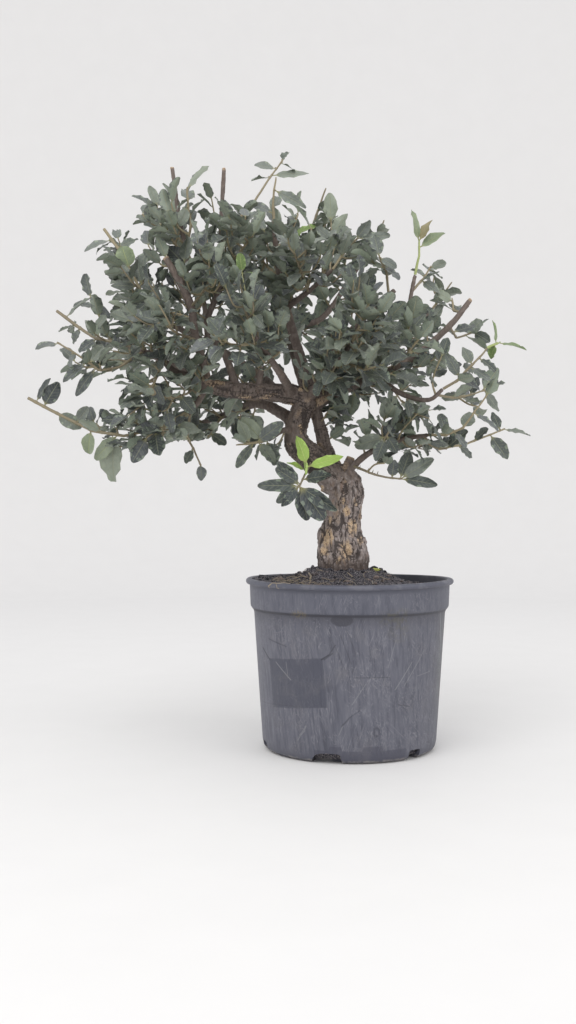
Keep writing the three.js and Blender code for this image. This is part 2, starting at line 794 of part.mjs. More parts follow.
function blade({ base, along, up, length, width, droop, fold, wave }, extra = 0) {
  const left = new THREE.Vector3().crossVectors(up, along);
  const place = (share, across, lift) => {
    const height = lift - droop * length * share * share;
    return base
      .clone()
      .addScaledVector(along, (length + extra) * share)
      .addScaledVector(left, ((width + extra) / 2) * across)
      .addScaledVector(up, height);
  };
  const half = (bladeThickness + extra) / 2;
  const rim = outline.map(([share, across, sign]) =>
    place(share, across, Math.abs(sign) * fold * Math.abs(across) * (width / 2) + sign * wave * width),
  );
  const points = [...rim, place(ribs[0], 0, half), place(ribs[1], 0, half), place(ribs[1], 0, -half)];
  const geometry = new THREE.BufferGeometry().setFromPoints(points);
  geometry.setIndex(faces.flat());
  return solidOf(geometry);
}

// The upward side of a leaf, square to its direction and turned towards a wish.
function upFor(along, wish) {
  const up = wish.clone().addScaledVector(along, -wish.dot(along));
  return up.lengthSq() > 0.01 ? up.normalize() : squareTo(along)[1];
}

// A leaf read from the view: it runs from the twig to its tip. It is turned about its length until it
// looks as wide as it should, and each further try moves its tip nearer or farther.
const depthTries = [0, 6, -6, 12, -12, 18, -18, 24];
const lastRoot = 0.985;

function readLeaf(name, [rootU, rootV, tipU, tipV, seenWidth], random, attempt) {
  let base = null;
  let nearest = Infinity;
  for (let share = twigs[name].start + 0.02; share < lastRoot; share += 0.01) {
    const place = twigMiddle(name, share);
    const distance = place.distanceTo(seen([rootU, rootV, place.y]));
    if (distance < nearest) {
      nearest = distance;
      base = place;
    }
  }
  const depth = base.y + (random[0] - 0.5) * 14 + depthTries[attempt];
  const tip = seen([tipU, tipV, depth]);
  const along = tip.clone().sub(base).normalize();
  const scale = (viewDistance + depth) / focalPixels;
  const width = Math.max(seenWidth * scale, narrowestBlade);
  const turn = Math.acos(Math.min((seenWidth * scale) / width, 1)) + 0.35 * random[1];
  const facing = upFor(along, new THREE.Vector3(0, -1, 0));
  const aside = new THREE.Vector3().crossVectors(along, facing);
  const upwards = aside.z < 0 ? -1 : 1;
  const up = facing.multiplyScalar(Math.cos(turn)).addScaledVector(aside, upwards * Math.sin(turn));
  return { base, along, up, length: tip.distanceTo(base), width, ...habit(random) };
}

// How a leaf is bent: its droop, its fold and its wave.
function habit(random) {
  return {
    droop: 0.04 + 0.14 * random[2],
    fold: -0.1 + 0.5 * random[3],
    wave: (random[4] < 0.5 ? -1 : 1) * (0.05 + 0.06 * random[5]),
  };
}

// A leaf set by rule: the next one a golden angle round the twig, the last one at its tip. Each further
// try turns it further round the twig.
const goldenAngle = 137.5;
const firstRoot = 0.16;
const sideSpread = 48;
const tipSpread = 12;
const turnTries = [0, 50, -50, 100, -100, 150, -150, 180];

function ruledLeaf(name, index, count, random, attempt) {
  const { start } = twigs[name];
  const step = (index + 0.7 * random[6]) / Math.max(count - 1, 1);
  const share = Math.min(start + (1 - start) * (firstRoot + (1 - firstRoot) * step), lastRoot);
  const leastSpread = index === count - 1 ? tipSpread : sideSpread;
  const base = twigMiddle(name, share);
  const direction = directionAt(grown[name].curve, share);
  const [side, above] = squareTo(direction);
  const turn = THREE.MathUtils.degToRad(index * goldenAngle + 50 * random[7] + turnTries[attempt]);
  const spread = THREE.MathUtils.degToRad(leastSpread + 22 * random[8] + 8 * (attempt % 2));
  const outwards = base.clone().sub(crownMiddle).normalize();
  const along = direction
    .multiplyScalar(Math.cos(spread))
    .addScaledVector(side, Math.sin(spread) * Math.cos(turn))
    .addScaledVector(above, Math.sin(spread) * Math.sin(turn))
    .addScaledVector(outwards, 0.15)
    .normalize();
  const wish = new THREE.Vector3(random[9] - 0.5, random[10] - 0.5, 0.9).addScaledVector(outwards, 0.6);
  const size = 0.84 + 0.34 * random[11];
  return {
    base,
    along,
    up: upFor(along, wish),
    length: usualLength * size,
    width: usualWidth * size * (0.9 + 0.2 * random[1]),
    ...habit(random),
  };
}

// The leaves of a spray, each fused to its twig. One that finds no free place is left off.
const drawsPerLeaf = 12;

function makeSpray(name, { leaves = [], more = inRow }) {
  const next = stream(Object.keys(sprays).indexOf(name) + 1);
  let spray = twigs[name].twig;
  for (let index = 0; index < leaves.length + more; index += 1) {
    const random = Array.from({ length: drawsPerLeaf }, next);
    for (let attempt = 0; attempt < turnTries.length; attempt += 1) {
      const form =
        index < leaves.length
          ? readLeaf(name, leaves[index], random, attempt)
          : ruledLeaf(name, index - leaves.length, more, random, attempt);
      if (!meets(blade(form, 2 * leafClearance), name)) {
        const leaf = blade(form);
        spray = spray.add(leaf);
        addObstacle(leaf, name + index);
        break;
      }
    }
  }
  return filled(spray);
}

const bonsai = new THREE.Group();

function addPiece(name, solid, look) {
  const mesh = new THREE.Mesh(geometryOf(solid), look);
  mesh.name = name;
  bonsai.add(mesh);
}

addPiece("pot", makePot(), material.pot);
addPiece("soil", makeSoil(), material.soil);
addPiece("tree", filled(wood), material.bark);
for (const [name, spray] of Object.entries(sprays)) {
  addPiece(name, makeSpray(name, spray), spray.young ? material.youngLeaf : material.leaf);
}

export default bonsai;
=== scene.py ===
# Cork oak bonsai in a plastic nursery pot: its looks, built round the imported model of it.
# Sizes are in millimetres unless they say metres. +X is right, +Y away from the viewer and +Z up.
import functools
import math
import random

import bpy
import numpy as np
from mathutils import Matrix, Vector, noise
from mathutils.kdtree import KDTree


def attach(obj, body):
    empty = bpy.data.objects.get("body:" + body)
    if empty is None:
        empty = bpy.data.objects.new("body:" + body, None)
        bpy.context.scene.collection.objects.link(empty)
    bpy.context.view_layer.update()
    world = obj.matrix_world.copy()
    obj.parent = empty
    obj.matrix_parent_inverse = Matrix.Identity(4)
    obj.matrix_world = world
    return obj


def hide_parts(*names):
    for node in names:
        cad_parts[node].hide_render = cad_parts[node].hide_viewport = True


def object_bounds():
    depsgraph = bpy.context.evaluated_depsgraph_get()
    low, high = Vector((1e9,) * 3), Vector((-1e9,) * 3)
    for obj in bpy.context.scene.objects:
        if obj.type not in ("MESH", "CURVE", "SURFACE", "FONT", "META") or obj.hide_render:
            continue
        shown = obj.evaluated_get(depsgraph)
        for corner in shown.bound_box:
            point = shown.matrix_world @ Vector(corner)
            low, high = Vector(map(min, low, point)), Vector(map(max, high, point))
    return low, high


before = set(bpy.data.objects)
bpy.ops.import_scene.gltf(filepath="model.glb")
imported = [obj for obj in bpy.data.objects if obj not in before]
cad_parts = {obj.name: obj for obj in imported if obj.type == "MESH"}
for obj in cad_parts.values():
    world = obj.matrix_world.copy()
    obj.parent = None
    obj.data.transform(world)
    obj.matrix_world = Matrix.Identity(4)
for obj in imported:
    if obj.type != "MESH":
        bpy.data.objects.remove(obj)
packed_box = [list(corner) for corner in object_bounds()]
MM = 0.001

# The viewpoint: a camera level with the trunk's foot, a little over a metre in front of the pot's axis.
# Places on the plant are noted as [u, v] in its frame of 576 x 1024, with y, how far behind the axis.
EYE = Vector((-59, -1081, 226))
FOCAL_PIXELS = 1119
FRAME_WIDTH, FRAME_HEIGHT = 576, 1024


def seen(u, v, y):
    scale = (y - EYE.y) / FOCAL_PIXELS
    side = EYE.x + (u - FRAME_WIDTH / 2) * scale
    return Vector((side, y, EYE.z - (v - FRAME_HEIGHT / 2) * scale))


def pixel_of(point):
    scale = (point[1] - EYE.y) / FOCAL_PIXELS
    u = FRAME_WIDTH / 2 + (point[0] - EYE.x) / scale
    return u, FRAME_HEIGHT / 2 - (point[2] - EYE.z) / scale


camera = bpy.data.objects.new("camera", bpy.data.cameras.new("camera"))
camera.data.sensor_width = 36
camera.data.lens = 36 * FOCAL_PIXELS / FRAME_HEIGHT
camera.data.clip_start, camera.data.clip_end = 0.05, 20
camera.location = EYE * MM
camera.rotation_euler = (math.radians(90), 0, 0)
bpy.context.scene.collection.objects.link(camera)
bpy.context.scene.camera = camera


# The studio: a plain pale floor that sweeps up into a pale surround, a large soft light high at the left
# in front, a weaker one at the right, and even light from all round. None of it belongs to the plant.
FLOOR_REACH, SWEEP_REACH, SURROUND_HEIGHT = 1900, 2500, 2700
SURROUND_SIDES, SWEEP_STEPS = 96, 12


class Wire:
    """The output of a shader node. Sums written with it add the Math nodes that work them out."""

    def __init__(self, finish, socket):
        self.finish, self.socket = finish, socket

    def output(self, name):
        return Wire(self.finish, self.socket.node.outputs[name])

    def math(self, operation, first, second=0.0, clamp=False):
        settings = {"operation": operation, "use_clamp": clamp}
        return self.finish.node("Math", settings, {0: first, 1: second})

    def __add__(self, other):
        return self.math("ADD", self, other)

    def __sub__(self, other):
        return self.math("SUBTRACT", self, other)

    def __rsub__(self, other):
        return self.math("SUBTRACT", other, self)

    def __mul__(self, other):
        return self.math("MULTIPLY", self, other)

    def __truediv__(self, other):
        return self.math("DIVIDE", self, other)

    def __pow__(self, other):
        return self.math("POWER", self, other)

    def __abs__(self):
        return self.math("ABSOLUTE", self)

    __radd__ = __add__
    __rmul__ = __mul__


class Finish:
    """A procedural material that is being put together."""

    def __init__(self, name):
        self.material = bpy.data.materials.new(name)
        self.material.use_nodes = True
        self.tree = self.material.node_tree
        self.tree.nodes.clear()

    def node(self, kind, settings=None, sockets=None, output=0):
        made = self.tree.nodes.new("ShaderNode" + kind)
        for name, value in (settings or {}).items():
            setattr(made, name, value)
        for name, value in (sockets or {}).items():
            socket = made.inputs[name]
            if isinstance(value, Wire):
                self.tree.links.new(value.socket, socket)
            elif socket.type == "RGBA":
                socket.default_value = (*value, 1)
            else:
                socket.default_value = value
        return Wire(self, made.outputs[output] if made.outputs else None)

    def mix(self, factor, first, second):
        settings = {"data_type": "RGBA", "clamp_factor": True}
        return self.node("Mix", settings, {0: factor, 6: first, 7: second}, 2)

    def rise(self, value, low, high):
        """0 where value is below low, 1 where it is above high, and a smooth step between them."""
        settings = {"interpolation_type": "SMOOTHSTEP"}
        return self.node("MapRange", settings, {0: value, 1: low, 2: high})

    def grain(self, place, size, detail=3.0, roughness=0.55, distortion=0.0):
        """Even noise about 0.5, whose largest spots are about the size given."""
        sockets = {"Vector": place, "Scale": 1 / (size * MM), "Detail": detail}
        sockets.update({"Roughness": roughness, "Distortion": distortion})
        return self.node("TexNoise", None, sockets)

    def stretched(self, place, factors):
        return self.node("VectorMath", {"operation": "MULTIPLY"}, {0: place, 1: factors})

    def surface(self, colour, roughness, height=None, relief=0.0, **fixed):
        sockets = {"Base Color": colour, "Roughness": roughness, **fixed}
        if height is not None:
            sockets["Normal"] = self.node("Bump", None, {"Height": height, "Distance": relief * MM})
        shader = self.node("BsdfPrincipled", None, sockets)
        self.node("OutputMaterial", None, {"Surface": shader})
        return self.material


def make_mesh(name, points, faces):
    mesh = bpy.data.meshes.new(name)
    mesh.from_pydata((np.asarray(points, float) * MM).tolist(), [], faces)
    mesh.validate()
    mesh.shade_smooth()
    return mesh


def make_piece(name, mesh, *materials):
    piece = bpy.data.objects.new(name, mesh)
    for material in materials:
        mesh.materials.append(material)
    bpy.context.scene.collection.objects.link(piece)
    return piece



sweep = [(FLOOR_REACH, 0)]
for step in range(1, SWEEP_STEPS + 1):
    bend = math.radians(90 * step / SWEEP_STEPS)
    rise = SWEEP_REACH - FLOOR_REACH
    sweep.append((FLOOR_REACH + rise * math.sin(bend), rise * (1 - math.cos(bend))))
sweep.append((SWEEP_REACH, SURROUND_HEIGHT))
points, faces = [], []
for reach, height in sweep:
    for side in range(SURROUND_SIDES):
        turn = 2 * math.pi * side / SURROUND_SIDES
        points.append((reach * math.sin(turn), reach * math.cos(turn), height))
for row in range(len(sweep) - 1):
    for side in range(SURROUND_SIDES):
        after = (side + 1) % SURROUND_SIDES
        low, high = row * SURROUND_SIDES, (row + 1) * SURROUND_SIDES
        faces.append((low + side, low + after, high + after, high + side))
floor_finish = Finish("pale_floor")
spot = floor_finish.grain(floor_finish.node("TexCoord", output="Object"), 60)
floor_colour = floor_finish.mix(spot, (0.80, 0.79, 0.775), (0.83, 0.82, 0.805))
floor_material = floor_finish.surface(floor_colour, 0.7)
surround = make_piece("surround", make_mesh("surround", points, faces), floor_material)
surround.visible_shadow = False
surround.visible_diffuse = False
surround.visible_glossy = False
floor_mesh = make_mesh("floor", points[:SURROUND_SIDES], [range(SURROUND_SIDES)])
floor = make_piece("floor", floor_mesh, floor_material)

world = bpy.data.worlds.new("studio")
world.use_nodes = True
world.node_tree.nodes["Background"].inputs["Color"].default_value = (0.965, 0.965, 0.985, 1)
world.node_tree.nodes["Background"].inputs["Strength"].default_value = 0.9
bpy.context.scene.world = world
bpy.context.scene.view_settings.view_transform = "Standard"
for name, place, aim, width, power in [
    ("key_light", (-700, -1300, 1900), (0, 0, 300), 1400, 18),
    ("fill_light", (1500, -900, 1100), (0, 0, 300), 1200, 7),
]:
    light = bpy.data.objects.new(name, bpy.data.lights.new(name, "AREA"))
    light.data.size = width * MM
    light.data.energy = power
    light.location = Vector(place) * MM
    light.rotation_euler = (Vector(aim) - Vector(place)).to_track_quat("-Z", "Y").to_euler()
    bpy.context.scene.collection.objects.link(light)

# The pot: one piece of thin grey plastic, moulded with a rolled lip, a collar band, a tapering wall and six
# drainage notches in its foot, the front one torn. It is scratched, dusty and a little out of round.
POT_HEIGHT = 162
POT_SIDES = 220
WALL_FOOT, WALL_TOP, COLLAR_RADIUS = (83.5, 9), (92, 132), 96
POT_PROFILE = [  # radius, height and how far the corner is rounded
    (0, 0, 0), (77, 0, 1), (82, 2.5, 3), (*WALL_FOOT, 0), (*WALL_TOP, 2.5), (95.4, 136, 1.4),
    (96.3, 156.2, 0.5), (97, 157, 0.5), (99, 157, 1), (100, 158.6, 1), (100, 160.4, 1.2),
    (98.4, POT_HEIGHT, 1.2), (94, POT_HEIGHT, 1.4), (93.5, 136, 2), (90, 131, 3), (80, 7, 2), (76, 3, 2),
    (0, 3, 0),
]
NOTCH_HEIGHT, NOTCH_WIDTH, NOTCH_REACH = 9.5, 15, (69, 95)
FIRST_NOTCH, NOTCH_COUNT = -17, 6
TORN_NOTCH = [  # how far to the side, and height
    (-15.8, -3), (-15.2, 1.5), (-13.6, 5), (-10.8, 8), (-6.4, 9.3), (0, 9.8), (10, 9.6), (12, 8.8), (13, 4),
    (13.9, -3),
]


def rounded(corners, steps=3, longest=12):
    """The profile through the corners, with their roundings drawn and long straight runs divided."""
    line = []
    for index, (radius, height, fillet) in enumerate(corners):
        here = Vector((radius, height))
        drawn = [here]
        if fillet:
            before = Vector(corners[index - 1][:2]) - here
            after = Vector(corners[index + 1][:2]) - here
            reach = min(fillet, 0.45 * before.length, 0.45 * after.length)
            start, end = here + reach * before.normalized(), here + reach * after.normalized()
            shares = [step / steps for step in range(steps + 1)]
            drawn = [start * (1 - s) ** 2 + here * 2 * s * (1 - s) + end * s * s for s in shares]
        if line:
            pieces = math.ceil((drawn[0] - line[-1]).length / longest)
            line += [line[-1].lerp(drawn[0], step / pieces) for step in range(1, pieces)]
        line += drawn
    return line


def out_of_round(point):
    x, y, z = point
    turn, share = math.atan2(x, -y), z / POT_HEIGHT
    swell = 1 + share**2 * (0.0042 * math.sin(2 * turn + 0.8) + 0.0016 * math.sin(5 * turn))
    return x * swell, y * swell, z + 0.7 * share**8 * math.sin(2 * turn - 1.2)


line = rounded(POT_PROFILE)
points = [(0, 0, line[0].y)]
for radius, height in line[1:-1]:
    for side in range(POT_SIDES):
        turn = 2 * math.pi * side / POT_SIDES
        points.append(out_of_round((radius * math.cos(turn), radius * math.sin(turn), height)))
points.append((0, 0, line[-1].y))
faces = []
for side in range(POT_SIDES):
    after = (side + 1) % POT_SIDES
    faces.append((0, 1 + after, 1 + side))
    for row in range(len(line) - 3):
        low, high = 1 + row * POT_SIDES, 1 + (row + 1) * POT_SIDES
        faces.append((low + side, low + after, high + after, high + side))
    top = 1 + (len(line) - 3) * POT_SIDES
    faces.append((top + side, top + after, len(points) - 1))
pot_mesh = make_mesh("pot_wall", points, faces)

points, faces = [], []
for notch in range(NOTCH_COUNT):
    outline = TORN_NOTCH
    if notch:
        half, top = NOTCH_WIDTH / 2, NOTCH_HEIGHT
        outline = [(-half, -3), (-half, top - 1.8), (-half + 0.5, top - 0.6), (-half + 1.8, top)]
        outline += [(-across, height) for across, height in reversed(outline)]
    turn = math.radians(FIRST_NOTCH + notch * 360 / NOTCH_COUNT)
    out, side = Vector((math.sin(turn), -math.cos(turn), 0)), Vector((math.cos(turn), math.sin(turn), 0))
    first, count = len(points), len(outline)
    for reach in NOTCH_REACH:
        points += [out * reach + side * across + Vector((0, 0, height)) for across, height in outline]
    faces.append([first + index for index in range(count)])
    faces.append([first + count + index for index in reversed(range(count))])
    for index in range(count):
        after = (index + 1) % count
        faces.append([first + after, first + index, first + count + index, first + count + after])
notch_cutter = make_piece("notch_cutter", make_mesh("notch_cutter", points, faces))


def keep_modifiers(piece):
    """Puts the shape that a piece's modifiers give it into its mesh."""
    shaped = bpy.data.meshes.new_from_object(piece.evaluated_get(bpy.context.evaluated_depsgraph_get()))
    piece.modifiers.clear()
    piece.data = shaped


PEAT_LEVEL = 157
LABEL_STAIN = [(269.8, 659.4), (321.5, 659.4), (326.2, 706.8), (273.9, 706)]
DARK_SCRATCHES = [  # start, end, half width, strength
    ((262.9, 647.4), (270.2, 659.8), 0.45, 0.9), ((264.5, 650.5), (268, 658.5), 0.3, 0.6),
    ((321.5, 659.8), (329, 655), 0.45, 0.9), ((329, 655), (335.4, 645.2), 0.22, 0.7),
    ((324, 660), (332.4, 653.6), 0.3, 0.7), ((268.7, 638.6), (286.3, 646.6), 0.3, 0.55),
    ((342, 726.5), (350, 717.5), 0.5, 0.55), ((350, 717.5), (359.6, 711), 0.3, 0.45),
    ((355, 678), (389, 677.4), 0.3, 0.45), ((398, 705), (409, 706.5), 0.4, 0.5),
    ((340, 634), (351, 664), 0.35, 0.35), ((346, 629), (357, 657), 0.3, 0.35),
    ((332, 640), (346, 672), 0.3, 0.3), ((262, 701), (300, 706.5), 0.2, 0.2),
]
PALE_SCRATCHES = [
    ((276, 662), (291, 680), 0.25, 0.8), ((286, 662), (288, 678), 0.2, 0.6),
    ((395, 690), (412, 662), 0.25, 0.7), ((404, 686), (424, 650), 0.2, 0.6),
    ((388, 668), (396, 640), 0.2, 0.5), ((298, 740), (306, 726), 0.5, 0.5),
    ((300, 735), (304, 731), 0.8, 0.5), ((339, 735), (343, 726), 0.3, 0.5),
    ((352, 705), (366, 684), 0.2, 0.6), ((256, 640), (258, 700), 0.3, 0.4),
    ((417, 676), (430, 671), 0.2, 0.5), ((440.3, 613), (440.3, 649), 0.7, 0.9),
]
BLOT, DIRT = (341.7, 620.7), (298, 615)  # spots under the collar, in pixels as the scratches are
ALGAE = [(395, 618), (400, 634)]
RING_MARK, BAND_TOP = (376.5, 733), (360, 749.5)
BAND_ENDS = [(312.7, 750), (406.6, 750)]
WALL_REACH = 88  # what an angle round the wall is multiplied by, to give the way along it


def on_pot(u, v):
    """Where the pot's wall is seen at a pixel: how far round it from the front, and how high."""
    (foot, low), (top, high) = WALL_FOOT, WALL_TOP
    y = -float(foot)
    for _ in range(24):
        point = seen(u, v, y)
        radius = foot + (top - foot) * (point.z - low) / (high - low) if point.z < high + 2 else COLLAR_RADIUS
        y = -math.sqrt(max(radius**2 - point.x**2, 1))
    return math.atan2(point.x, -y) * WALL_REACH, point.z


plastic = Finish("weathered_plastic")
place = plastic.node("TexCoord", output="Object")
parts = plastic.node("SeparateXYZ", None, {0: place})
x, y, z = parts, parts.output("Y"), parts.output("Z")
around = x.math("ARCTAN2", x, y * -1) * WALL_REACH
up = z * 1000


def stroke(start, end, half_width, soft=0.35):
    """1 along a straight mark between two pixels on the pot's wall."""
    (a, b), (c, d) = on_pot(*start), on_pot(*end)
    run, climb = c - a, d - b
    off, over = around - a, up - b
    share = plastic.node("Clamp", None, {0: (off * run + over * climb) / (run**2 + climb**2)})
    gap = ((off - share * run) ** 2 + (over - share * climb) ** 2) ** 0.5
    return 1 - plastic.rise(gap, half_width, half_width + soft)


def spot_mark(middle, half_width, half_height, edge, soft=0.35):
    """1 inside an oval spot on the pot's wall, whose edge is broken up by a noise."""
    side, height = on_pot(*middle)
    gap = (((around - side) / half_width) ** 2 + ((up - height) / half_height) ** 2) ** 0.5
    return 1 - plastic.rise(gap + (edge - 0.5) * 1.2, 1 - soft, 1 + soft)


def together(masks):
    total = masks[0]
    for mask in masks[1:]:
        total = total.math("MAXIMUM", total, mask)
    return total


broad = plastic.grain(place, 38, 4)
fine = plastic.grain(place, 4, 4, 0.65)
speck = plastic.grain(place, 1.3, 2)
hairs = []
for (lean_x, lean_y), size, thin, fade in [
    ((0.05, 0), 2.6, 0.022, 17), ((-0.34, 0.1), 3.4, 0.02, 23), ((0.42, -0.2), 3.2, 0.02, 31),
    ((0.9, 0.6), 6, 0.012, 47),
]:
    leaning = plastic.node("CombineXYZ", None, {0: x + z * lean_x, 1: y + z * lean_y, 2: z * 0.045 + fade})
    wander = plastic.grain(leaning, size, 2, 0.5, 0.35)
    patch = plastic.rise(plastic.grain(place, fade, 2), 0.42, 0.62)
    hairs.append((1 - plastic.rise(abs(wander - 0.5), 0.0, thin)) * patch)
hair = together(hairs)
sheet = plastic.node("CombineXYZ", None, {0: x + z * 0.1, 1: y, 2: z * 0.08})
brushed = plastic.grain(sheet, 3, 4, 0.6)
on_wall = (1 - plastic.rise(up, 130, 134)) * plastic.rise(up, 3, 12)
on_collar = plastic.rise(up, 134, 136) * (1 - plastic.rise(up, 152, 155))
scuffed = plastic.node("Clamp", None, {0: on_wall + on_collar * 0.7})

colour = plastic.mix(broad, (0.074, 0.077, 0.101), (0.108, 0.111, 0.142))
colour = plastic.mix((brushed - 0.38) * 1.8 * scuffed, colour, (0.165, 0.166, 0.196))
colour = plastic.mix((0.5 - brushed) * 2.2 * scuffed, colour, (0.048, 0.05, 0.068))
# Painted light and shade: the wall's left side is painted lighter and its right side darker.
colour = plastic.mix(plastic.rise(around, 30, 120) * 0.3, colour, (0.066, 0.067, 0.086))
colour = plastic.mix((1 - plastic.rise(around, -120, -50)) * 0.25, colour, (0.165, 0.168, 0.2))
colour = plastic.mix(plastic.rise(up, 134, 136) * 0.08, colour, (0.05, 0.06, 0.09))
colour = plastic.mix(hair * scuffed * 0.7, colour, (0.235, 0.232, 0.26))
colour = plastic.mix(plastic.rise(fine, 0.6, 0.75) * 0.25, colour, (0.07, 0.07, 0.089))
# Painted shade: streaks on the wall's upper part, under the collar's overhang, are darkened.
painted_shade_under_collar = plastic.rise(up, 108, 131) * (1 - plastic.rise(up, 131, 134))
colour = plastic.mix(painted_shade_under_collar * plastic.rise(brushed, 0.42, 0.6) * 0.3, colour, (0.085, 0.085, 0.104))
shade = plastic.rise(up, 132.2, 133) * (1 - plastic.rise(up, 134.4, 135.6))
colour = plastic.mix(shade * 0.75, colour, (0.036, 0.037, 0.05))

edges = []
wobble = (plastic.grain(place, 5, 3) - 0.5) * 1.6
corners = [on_pot(*corner) for corner in LABEL_STAIN]
for (a, b), (c, d) in zip(corners, corners[1:] + corners[:1]):
    length = math.hypot(c - a, d - b)
    inside = (around - a) * ((d - b) / length) - (up - b) * ((c - a) / length)
    edges.append(plastic.rise(wobble - inside, -0.2, 1.4))
stain = 1 - together(edges)
colour = plastic.mix(stain * (0.62 + (brushed - 0.5) * 1.3), colour, (0.047, 0.05, 0.073))
rim_mark = (1 - plastic.rise(abs(stain - 0.45), 0.1, 0.35)) * 0.35
colour = plastic.mix(rim_mark, colour, (0.037, 0.037, 0.05))
blot = spot_mark(BLOT, 9.4, 5.2, plastic.grain(place, 9, 3) * 0.4 + 0.3, 0.14)
colour = plastic.mix(blot * (0.55 + brushed * 0.4), colour, (0.038, 0.039, 0.054))
dark = together([stroke(a, b, w, 0.5) * s for a, b, w, s in DARK_SCRATCHES])
colour = plastic.mix(dark * 0.8, colour, (0.026, 0.027, 0.037))
pale = together([stroke(a, b, w) * s for a, b, w, s in PALE_SCRATCHES])
colour = plastic.mix(pale * 0.7, colour, (0.274, 0.273, 0.286))
side, height = on_pot(*RING_MARK)
ring_gap = (((around - side) / 3.7) ** 2 + ((up - height) / 5) ** 2) ** 0.5
ring = 1 - plastic.rise(abs(ring_gap - 0.75), 0.12, 0.3)
colour = plastic.mix(ring * 0.45, colour, (0.052, 0.052, 0.071))
colour = plastic.mix((1 - plastic.rise(ring_gap, 0.2, 0.5)) * 0.5, colour, (0.178, 0.175, 0.2))

step_top = on_pot(*BAND_TOP)[1]
band_left, band_right = (on_pot(*end)[0] for end in BAND_ENDS)
steps = plastic.rise(plastic.grain(plastic.stretched(place, (1, 1, 0.02)), 26, 1), 0.46, 0.5) * 4
band = 1 - plastic.rise(up + steps + wobble * 0.5, step_top + 1.4, step_top + 2.6)
band = band * plastic.rise(around, band_left, band_left + 2)
band = band * (1 - plastic.rise(around, band_right - 2, band_right))
colour = plastic.mix(band * 0.65, colour, (0.061, 0.061, 0.086))

dirt = spot_mark(DIRT, 7, 3.4, fine)
colour = plastic.mix(dirt * plastic.rise(speck, 0.42, 0.6) * 0.65, colour, (0.192, 0.15, 0.071))
upper, lower = spot_mark(ALGAE[0], 13, 7, broad, 0.6), spot_mark(ALGAE[1], 10, 9, broad, 0.6)
algae = together([upper, lower * 0.6])
colour = plastic.mix(algae * plastic.rise(fine, 0.4, 0.65) * 0.5, colour, (0.122, 0.112, 0.071))
green_side = plastic.rise(around, 84, 122) * (1 - plastic.rise(around, 128, 150)) * plastic.rise(up, 20, 70)
colour = plastic.mix(green_side * on_wall * 0.4, colour, (0.141, 0.14, 0.122))
dusty = plastic.rise(plastic.grain(place, 22, 5, 0.62), 0.5, 0.72)
colour = plastic.mix(dusty * (1 - plastic.rise(up, 120, 130)) * 0.3, colour, (0.155, 0.15, 0.161))
rubbed = plastic.rise(plastic.grain(place, 9, 3), 0.38, 0.52)
worn = (1 - plastic.rise(up + (fine - 0.5) * 5, 2.2, 4.2)) * rubbed
colour = plastic.mix(worn * 0.75, colour, (0.252, 0.238, 0.236))
lip_wear = plastic.rise(up, 156.6, 157.6) * plastic.rise(plastic.grain(place, 12, 4), 0.5, 0.66)
colour = plastic.mix(lip_wear * 0.4, colour, (0.185, 0.182, 0.204))
crumbs_on_lip = plastic.rise(up, 161, 161.8) * plastic.rise(fine, 0.56, 0.64)
colour = plastic.mix(crumbs_on_lip * 0.75, colour, (0.037, 0.027, 0.02))
reach = ((x * 1000) ** 2 + (y * 1000) ** 2) ** 0.5
inner = (1 - plastic.rise(reach, 93.4, 94.6)) * plastic.rise(up, 120, 140)
colour = plastic.mix(inner * 0.6, colour, (0.037, 0.035, 0.044))

roughness = 0.52 + (fine - 0.5) * 0.25 + dusty * 0.12 + hair * 0.1 - stain * 0.06 - blot * 0.1
height = (broad - 0.5) * 0.5 + (fine - 0.5) * 0.12 + hair * 0.08 - dark * 0.25 + pale * 0.1 + stain * 0.06
height = height - ring * 0.4 + (brushed - 0.5) * 0.12
plastic_material = plastic.surface(colour, roughness, height, 0.8)

pot = make_piece("pot_dressed", pot_mesh, plastic_material)
cut = pot.modifiers.new("notches", "BOOLEAN")
cut.object, cut.operation, cut.solver = notch_cutter, "DIFFERENCE", "EXACT"
keep_modifiers(pot)
bpy.data.objects.remove(notch_cutter)
pot.data.set_sharp_from_angle(angle=math.radians(38))
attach(pot, "root")
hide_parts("pot")

# The peat: dark, crumbly potting peat that fills the pot and is heaped round the trunk, higher at the left
# than at the right, with loose crumbs, bits of bark and fine tan roots on top.
PEAT_RADIUS, TRUNK_HOLE = 92.4, 12
PEAT_WALL = [  # radius and height, down to the pot's floor
    (90.6, 140), (88.6, 118), (86.4, 90), (84.2, 60), (82, 33), (79.9, 10), (77, 4), (70, 3.4),
]
PEAT_RINGS, PEAT_SIDES = 54, 310
MOUND_HEIGHT, MOUND_REACH = 14, 30
HEAP_HEIGHT, HEAP_X, HEAP_Y = 4.4, -33, -24  # a second, smaller heap at the left in front
CRUMBS = 800


def peat_height(x, y):
    mound = MOUND_HEIGHT * math.exp(-(((math.hypot(x, y) - 20) / MOUND_REACH) ** 2))
    lumps = 1.6 * (math.sin(0.21 * x + 1) * math.cos(0.17 * y) + 0.6 * math.sin(0.09 * x - 0.26 * y))
    return PEAT_LEVEL + mound - 0.05 * x + lumps


def peat_surface(x, y):
    """The crumbly top: clods, then grains, that fade out towards the pot's wall."""
    place = Vector((x, y, 0))
    clods = noise.fractal(place / 9, 0.9, 2.1, 3)
    grains = abs(noise.noise(place / 2.6 + Vector((5, 9, 2)))) + 0.5 * abs(noise.noise(place / 1.2))
    reach = min((PEAT_RADIUS - math.hypot(x, y)) / 12, 1)
    heap = HEAP_HEIGHT * math.exp(-(((x - HEAP_X) / 13) ** 2 + ((y - HEAP_Y) / 20) ** 2))
    return peat_height(x, y) + reach * (1.5 * clods + heap) + (0.4 + 0.6 * reach) * (2.2 * grains - 0.7)


